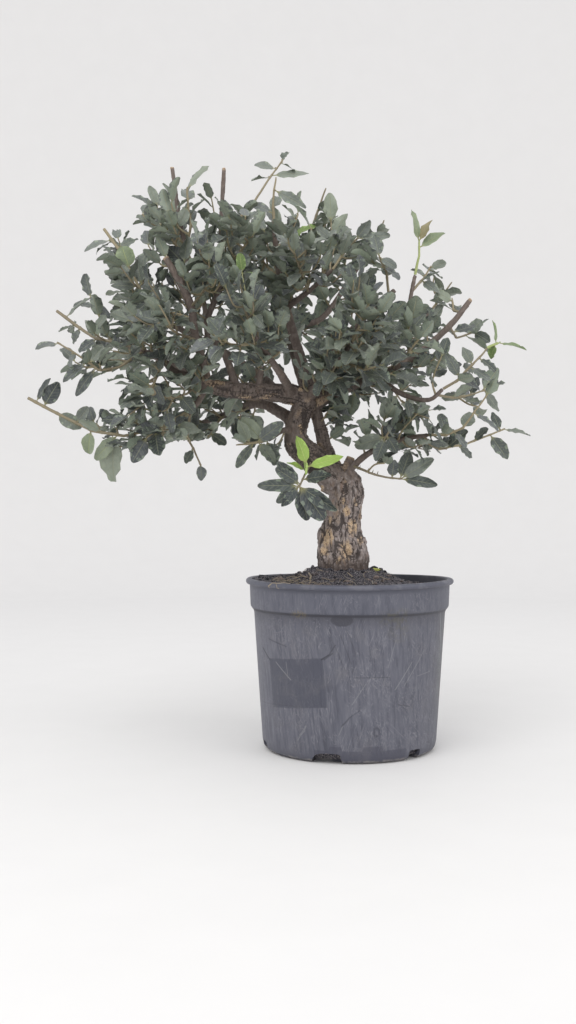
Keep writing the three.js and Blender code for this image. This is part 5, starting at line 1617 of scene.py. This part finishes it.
MORE_IN_VIEW = {  # leaves that are placed by listed marks as those of the sprays are, and that weren't packed
    "trunk_front": [(300, 488, 325, 519, 22), (297, 487, 278, 461, 15), (299, 489, 276, 502, 13)],
    "low_front": [(262, 437, 242, 417, 16), (270, 438, 276, 465, 17)],
    "left_low": [(118, 436, 94, 459, 15)],
}
GREEN_PAIR = [(242, 273, 240, 253, 10), (242, 275, 257, 277, 7)]  # two young leaves amid the crown
GREEN_PAIR_ON, GREEN_PAIR_Y = "front_left", -86
SAME_PLACE = 0.06  # how near a leaf's tip has to be to a packed one to be the same leaf
USUAL_START = 0.06
GREEN_PAIR_TONE = (0, 0.6, 0, 0)
MARKED_CURL = 0.25  # how much leaves that are placed by listed marks curl, as a share of the others
pick = random.Random(31)
twigs, kept_leaves, leaf_centres, leaf_samples, leaves_in_view = {}, {}, [], [], []
for number, (name, spray) in enumerate(SPRAYS.items()):
    packed = KDTree(len(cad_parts[name].data.vertices))
    for index, vertex in enumerate(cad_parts[name].data.vertices):
        packed.insert(vertex.co / MM, index)
    packed.balance()
    route = [seen(*place) for place in spray["route"]]
    if spray["on"]:
        parent, share = spray["on"]
        route.insert(0, limb_curves[parent].point(share))
    curve = limb_curves[name] = Curve(route)
    reaches = [(step * 0.002, (curve.point(step * 0.002) - route[0]).length) for step in range(1, 500)]
    start = USUAL_START
    for step in range(1, 122):
        share = next((share for share, reach in reaches if reach >= step * 0.2 + 0.3), None)
        if share is None:
            break
        radius = PACKED_TWIG_RADII[0] + (PACKED_TWIG_RADII[1] - PACKED_TWIG_RADII[0]) * share
        ring, ahead = curve.point(share), curve.ahead(share)
        near = [hit[0] - ring for hit in packed.find_range(ring, radius + 0.03)]
        rim = {tuple(round(part, 1) for part in gap) for gap in near
               if gap.length > radius - 0.03 and abs(gap.dot(ahead)) < 0.04}
        if len(rim) >= 3:
            start = share
            break
    twig = Twig(curve, start)
    twigs[name] = twig
    draws_of = even_draws(number + 1)
    marks, more = spray.get("leaves", []), spray.get("more", USUAL_LEAVES)
    kept = []
    for index in range(len(marks) + more):
        draws = [next(draws_of) for _ in range(12)]
        for attempt in range(8):
            if index < len(marks):
                leaf = seen_leaf(twig, marks[index], draws, attempt)
            else:
                leaf = ruled_leaf(twig, index - len(marks), more, draws, attempt)
            if packed.find(leaf.tip())[2] < SAME_PLACE:
                break
        else:
            if index >= len(marks):
                continue
            leaf = seen_leaf(twig, marks[index], draws, 0)
        if index >= len(marks) and beyond_edge(leaf.tip()) > MOST_BEYOND_EDGE:
            continue
        if index < len(marks):
            middle = leaf.base + leaf.along * (leaf.length * 0.55)
            leaves_in_view.append((*pixel_of(middle), *pixel_of(leaf.tip()), middle.y))
        leaf.age(pick, MARKED_CURL if index < len(marks) else 1)
        leaf.tone = tone_and_painted_light(leaf, pick)
        if spray.get("young"):
            leaf.tone, leaf.point = (pick.uniform(0.3, 0.8), 1, 0, 0), 0.6
        leaf.tone = LEAF_TONES.get((name, index), leaf.tone)
        if (name, index) in WIDER_LEAVES:
            leaf.width, leaf.point = leaf.width * WIDER_LEAVES[name, index], 0
        kept.append(leaf)
        leaf_centres.append(np.array(leaf.base + leaf.along * leaf.length / 2))
        leaf_samples.append(leaf.samples())
    for number, mark in enumerate(MORE_IN_VIEW.get(name, [])):
        leaf = seen_leaf(twig, mark, [0.5] * 12, 0)
        leaf.age(pick, MARKED_CURL)
        leaf.tone = LEAF_TONES.get((name, f"more {number}"), tone_and_painted_light(leaf, pick))
        kept.append(leaf)
    kept_leaves[name] = kept

for name, twig in twigs.items():
    spray = Spray()
    green = YOUNG_TWIGS.get(name, 0)
    parent = SPRAYS[name]["on"]
    length = sum((a - b).length for a, b in zip(twig.rings, twig.rings[1:]))
    count = max(round(length / 2.2), 6)
    root = 0.0 if parent is None else twig.start * 0.35
    shares = [root + (1 - root) * step / count for step in range(count + 1)]
    joints = [(leaf.base - twig.rings[0]).length for leaf in kept_leaves[name]]
    path, radii = [], []
    for share in shares:
        place = twig.middle(share) if share > twig.start else twig.curve.point(share)
        reach = (place - twig.rings[0]).length
        swell = 1 + 0.3 * max([math.exp(-((reach - joint) / 1.3) ** 2) for joint in joints], default=0)
        wander = noise.noise_vector(place / 9) * 0.35
        path.append(place + wander)
        radii.append((TWIG_RADII[0] + (TWIG_RADII[1] - TWIG_RADII[0]) * share) * swell)
    if name in CUT_TWIGS:
        radii = [radius + 0.75 * smooth_step(step, 0, count) for step, radius in enumerate(radii)]
    else:
        radii[-1] *= 0.7
    if name in OTHER_ROOTS:
        first = next(step for step, share in enumerate(shares) if share > 1 / (len(twig.curve.places) - 1))
        path = [seen(*place) for place in OTHER_ROOTS[name]] + path[first:]
        radii = [radii[first] * 1.2] * 2 + radii[first:]
        for spine in range(9):
            place = path[1] + (path[-1] - path[1]) * (0.05 + 0.055 * spine)
            place = min(path[1:], key=lambda near: (near - place).length).lerp(place, 0.5)
            point = place + Vector((0.8 * (-1) ** spine, -0.8, 2.6 * (-1) ** spine))
            spray.add_twig([place, point], [0.6, 0.15], 5, 0.2)
    spray.add_twig(path, radii, 8, 0.3 + 0.6 * pick.random(), green)
    for leaf in kept_leaves[name]:
        spray.add_leaf(leaf)
        bud = leaf.base + (leaf.up + leaf.along * 0.5).normalized() * 0.9
        spray.add_twig([bud, bud + leaf.along * 0.8 + leaf.up * 0.3, bud + leaf.along * 1.7 + leaf.up * 0.5],
                       [0.5, 0.6, 0.15], 5, 0.7, green)
    if name == GREEN_PAIR_ON:
        joint = seen(*GREEN_PAIR[0][:2], GREEN_PAIR_Y)
        near = min(points + branch_points, key=lambda place: (place - joint).length)
        spray.add_twig([near, near.lerp(joint, 0.5) - Vector((0, 0, 3)), joint], [0.7, 0.6, 0.5], 6, 0.6, 0.2)
        for root_u, root_v, tip_u, tip_v, seen_width in GREEN_PAIR:
            reach = seen(tip_u, tip_v, GREEN_PAIR_Y - 3) - joint
            width = seen_width * (GREEN_PAIR_Y - EYE.y) / FOCAL_PIXELS
            up = facing(reach.normalized(), Vector((0.2, -1, 0.4)))
            leaf = Leaf(joint, reach.normalized(), up, reach.length, width, (0.08, 0.15, 0.06))
            leaf.tone = GREEN_PAIR_TONE
            spray.add_leaf(leaf)
    spray.piece(f"{name}_leaves", "young_foliage" if SPRAYS[name].get("young") else "foliage", name)

# The small side shoots that fill the crown: short leafy growths all along the twigs and the outer part of
# the branches, each with a few leaves, set close but not through each other.
OPEN_IN_FRONT = [  # left, top, right and bottom in pixels, and how far back it stays open
    (222, 380, 300, 404, -25), (283, 398, 326, 460, 60), (310, 448, 352, 570, 200),
    (330, 462, 375, 570, 200), (160, 250, 178, 290, -50), (170, 285, 194, 312, -46),
    (206, 285, 224, 322, -16),
]
GAPS = [  # middle and reach of the holes that light is seen through, in pixels
    (172, 333, 6), (146, 348, 6), (146, 402, 6), (124, 371, 4), (180, 390, 6), (159, 371, 3), (159, 379, 3),
]
LEFT_THINS, RIGHT_THINS, TOP_THINS = (100, 190), (335, 390), (210, 270)  # in pixels, where the crown thins
FULL_UNDER = (310, 385, 375)  # left, right and top of the part low by the trunk that is full, in pixels
SHOOT_LENGTH, SHOOT_LEAVES, SHOOT_EVERY = (18, 34), (4, 6), 14
SHOOT_LEAF_SIZE = (24, 14.5)
CLEAR_OF_LEAVES, CLEAR_OF_WOOD = 2.0, 2.0
OUT_OF_VIEW = 6  # how far, in pixels, shoots keep from the middle and tip of a leaf placed by a listed mark
BOX_MARGIN = 0.003  # metres
REGIONS = 6
BARE_LIMBS = ("knob", "spur", "left_stem", "right_stem")
FULL_LIMBS = ("right_limb", "right_back_limb", "right_low_branch", "front_right_limb")


def inside_crown(point):
    u, v = pixel_of(point)
    if not inside_edge(round(u), round(v)):
        return False
    for left, top, right, bottom, depth in OPEN_IN_FRONT:
        if left < u < right and top < v < bottom and point[1] < depth:
            return False
    for middle_u, middle_v, reach in GAPS:
        if math.hypot(u - middle_u, v - middle_v) < reach:
            return False
    for middle_u, middle_v, tip_u, tip_v, depth in leaves_in_view:
        nearest = min(math.hypot(u - middle_u, v - middle_v), math.hypot(u - tip_u, v - tip_v))
        if point[1] < depth and nearest < OUT_OF_VIEW:
            return False
    low, high = packed_box
    return all(low[i] + BOX_MARGIN < point[i] * MM < high[i] - BOX_MARGIN for i in (1, 2))


wood_points = KDTree(len(points) + len(branch_points))
for place in points + branch_points:
    wood_points.insert(place, 0)
wood_points.balance()


def has_room(leaf):
    """True if a leaf keeps clear of the leaves so far and of the wood."""
    if not inside_crown(leaf.tip()):
        return False
    found = leaf.samples()
    if not (inside_crown(found[4]) and inside_crown(found[7])):
        return False
    if any(wood_points.find(place)[2] < CLEAR_OF_WOOD for place in found):
        return False
    middle = found[7]
    near = np.linalg.norm(np.array(leaf_centres) - middle, axis=1) < 30
    others = [leaf_samples[index] for index in np.flatnonzero(near)]
    if not others:
        return True
    gaps = np.linalg.norm(found[:, None, :] - np.concatenate(others)[None, :, :], axis=2)
    return gaps.min() > CLEAR_OF_LEAVES


def side_shoot(spray, root, ahead, out, pick):
    """Adds a shoot that leaves its branch at root, if at least two leaves on it have room."""
    length = pick.uniform(*SHOOT_LENGTH)
    outwards = (root - CROWN_MIDDLE).normalized()
    heading = (ahead * 0.6 + out + outwards * 0.5 + Vector((0, 0, 0.35))).normalized()
    u, v = pixel_of(root)
    fullness = (0.5 + 0.5 * smooth_step(u, *LEFT_THINS)) * (1 - 0.84 * smooth_step(u, *RIGHT_THINS))
    fullness *= 0.14 + 0.86 * smooth_step(v, *TOP_THINS)
    left, right, top = FULL_UNDER
    if left < u < right and v > top:
        fullness = 1
    if pick.random() > fullness:
        return
    end = root + heading * length + Vector((0, 0, pick.uniform(-3, 6)))
    path = Curve([root, root + (ahead * 0.2 + out + heading) * length * 0.25, end])
    if not inside_crown(end):
        return
    count = pick.randint(*SHOOT_LEAVES)
    made = []
    for index in range(count):
        share = 0.28 + 0.7 * index / (count - 1)
        base, direction = path.point(share), path.ahead(share)
        side, above = square_to(direction)
        for attempt in range(4):
            turn = math.radians(index * SPIRAL + pick.uniform(0, 60) + 90 * attempt)
            spread = math.radians((15 if index == count - 1 else 50) + pick.uniform(-8, 24))
            aside = side * math.cos(turn) + above * math.sin(turn)
            along = direction * math.cos(spread) + aside * math.sin(spread)
            along = (along + outwards * 0.15).normalized()
            wish = Vector((pick.uniform(-0.5, 0.5), pick.uniform(-0.6, 0.4), 0.9)) + outwards * 0.6
            size = pick.uniform(0.72, 1.12)
            droop, fold = pick.uniform(0.03, 0.2), pick.uniform(-0.1, 0.45)
            habit = (droop, fold, pick.choice((-1, 1)) * pick.uniform(0.05, 0.11))
            width = SHOOT_LEAF_SIZE[1] * size * pick.uniform(0.88, 1.1)
            leaf = Leaf(base, along, facing(along, wish), SHOOT_LEAF_SIZE[0] * size, width, habit)
            if has_room(leaf):
                leaf.age(pick)
                leaf.tone = tone_and_painted_light(leaf, pick)
                made.append((share, leaf))
                leaf_centres.append(np.array(leaf.base + leaf.along * leaf.length / 2))
                leaf_samples.append(leaf.samples())
                break
    if len(made) < 2:
        for _ in made:
            leaf_centres.pop()
            leaf_samples.pop()
        return
    last = max(share for share, _ in made) + 0.02
    steps = [last * step / 8 for step in range(9)]
    spray.add_twig([path.point(share) for share in steps], [1.05 - 0.4 * share for share in steps], 6,
                   0.3 + 0.6 * pick.random())
    for _, leaf in made:
        spray.add_leaf(leaf)


regions = [Spray() for _ in range(REGIONS)]
shoots_tried = 0
branches = [(name, 0.42) for name in LIMBS if name not in BARE_LIMBS]  # where, and from which share on
branches += [(name, 0.05) for name in FULL_LIMBS]
branches += [("right_stem", 0.4), ("right_side_branch", 0.1), ("right_stem", 0.5), ("right_limb", 0.1)]
branches += [(name, 0.12) for name in SPRAYS if not SPRAYS[name].get("young")]
for _ in range(2):
    for name, begin in branches:
        curve = limb_curves[name]
        length = sum((a - b).length for a, b in zip(curve.places, curve.places[1:]))
        pick = random.Random(shoots_tried)
        share = begin + pick.random() * SHOOT_EVERY / length
        while share < 0.97:
            shoots_tried += 1
            pick = random.Random(shoots_tried)
            ahead = curve.ahead(share)
            side, above = square_to(ahead)
            turn = pick.uniform(0, 2 * math.pi)
            out = side * math.cos(turn) + above * math.sin(turn)
            root = curve.point(share)
            bearing = math.atan2(root.y - CROWN_MIDDLE.y, root.x - CROWN_MIDDLE.x) / (2 * math.pi) % 1
            share += SHOOT_EVERY * pick.uniform(0.6, 1.4) / length
            side_shoot(regions[int(bearing * REGIONS)], root, ahead, out, pick)
for number, region in enumerate(regions):
    if region.count:
        region.piece(f"side_shoots_{number + 1}", "foliage")
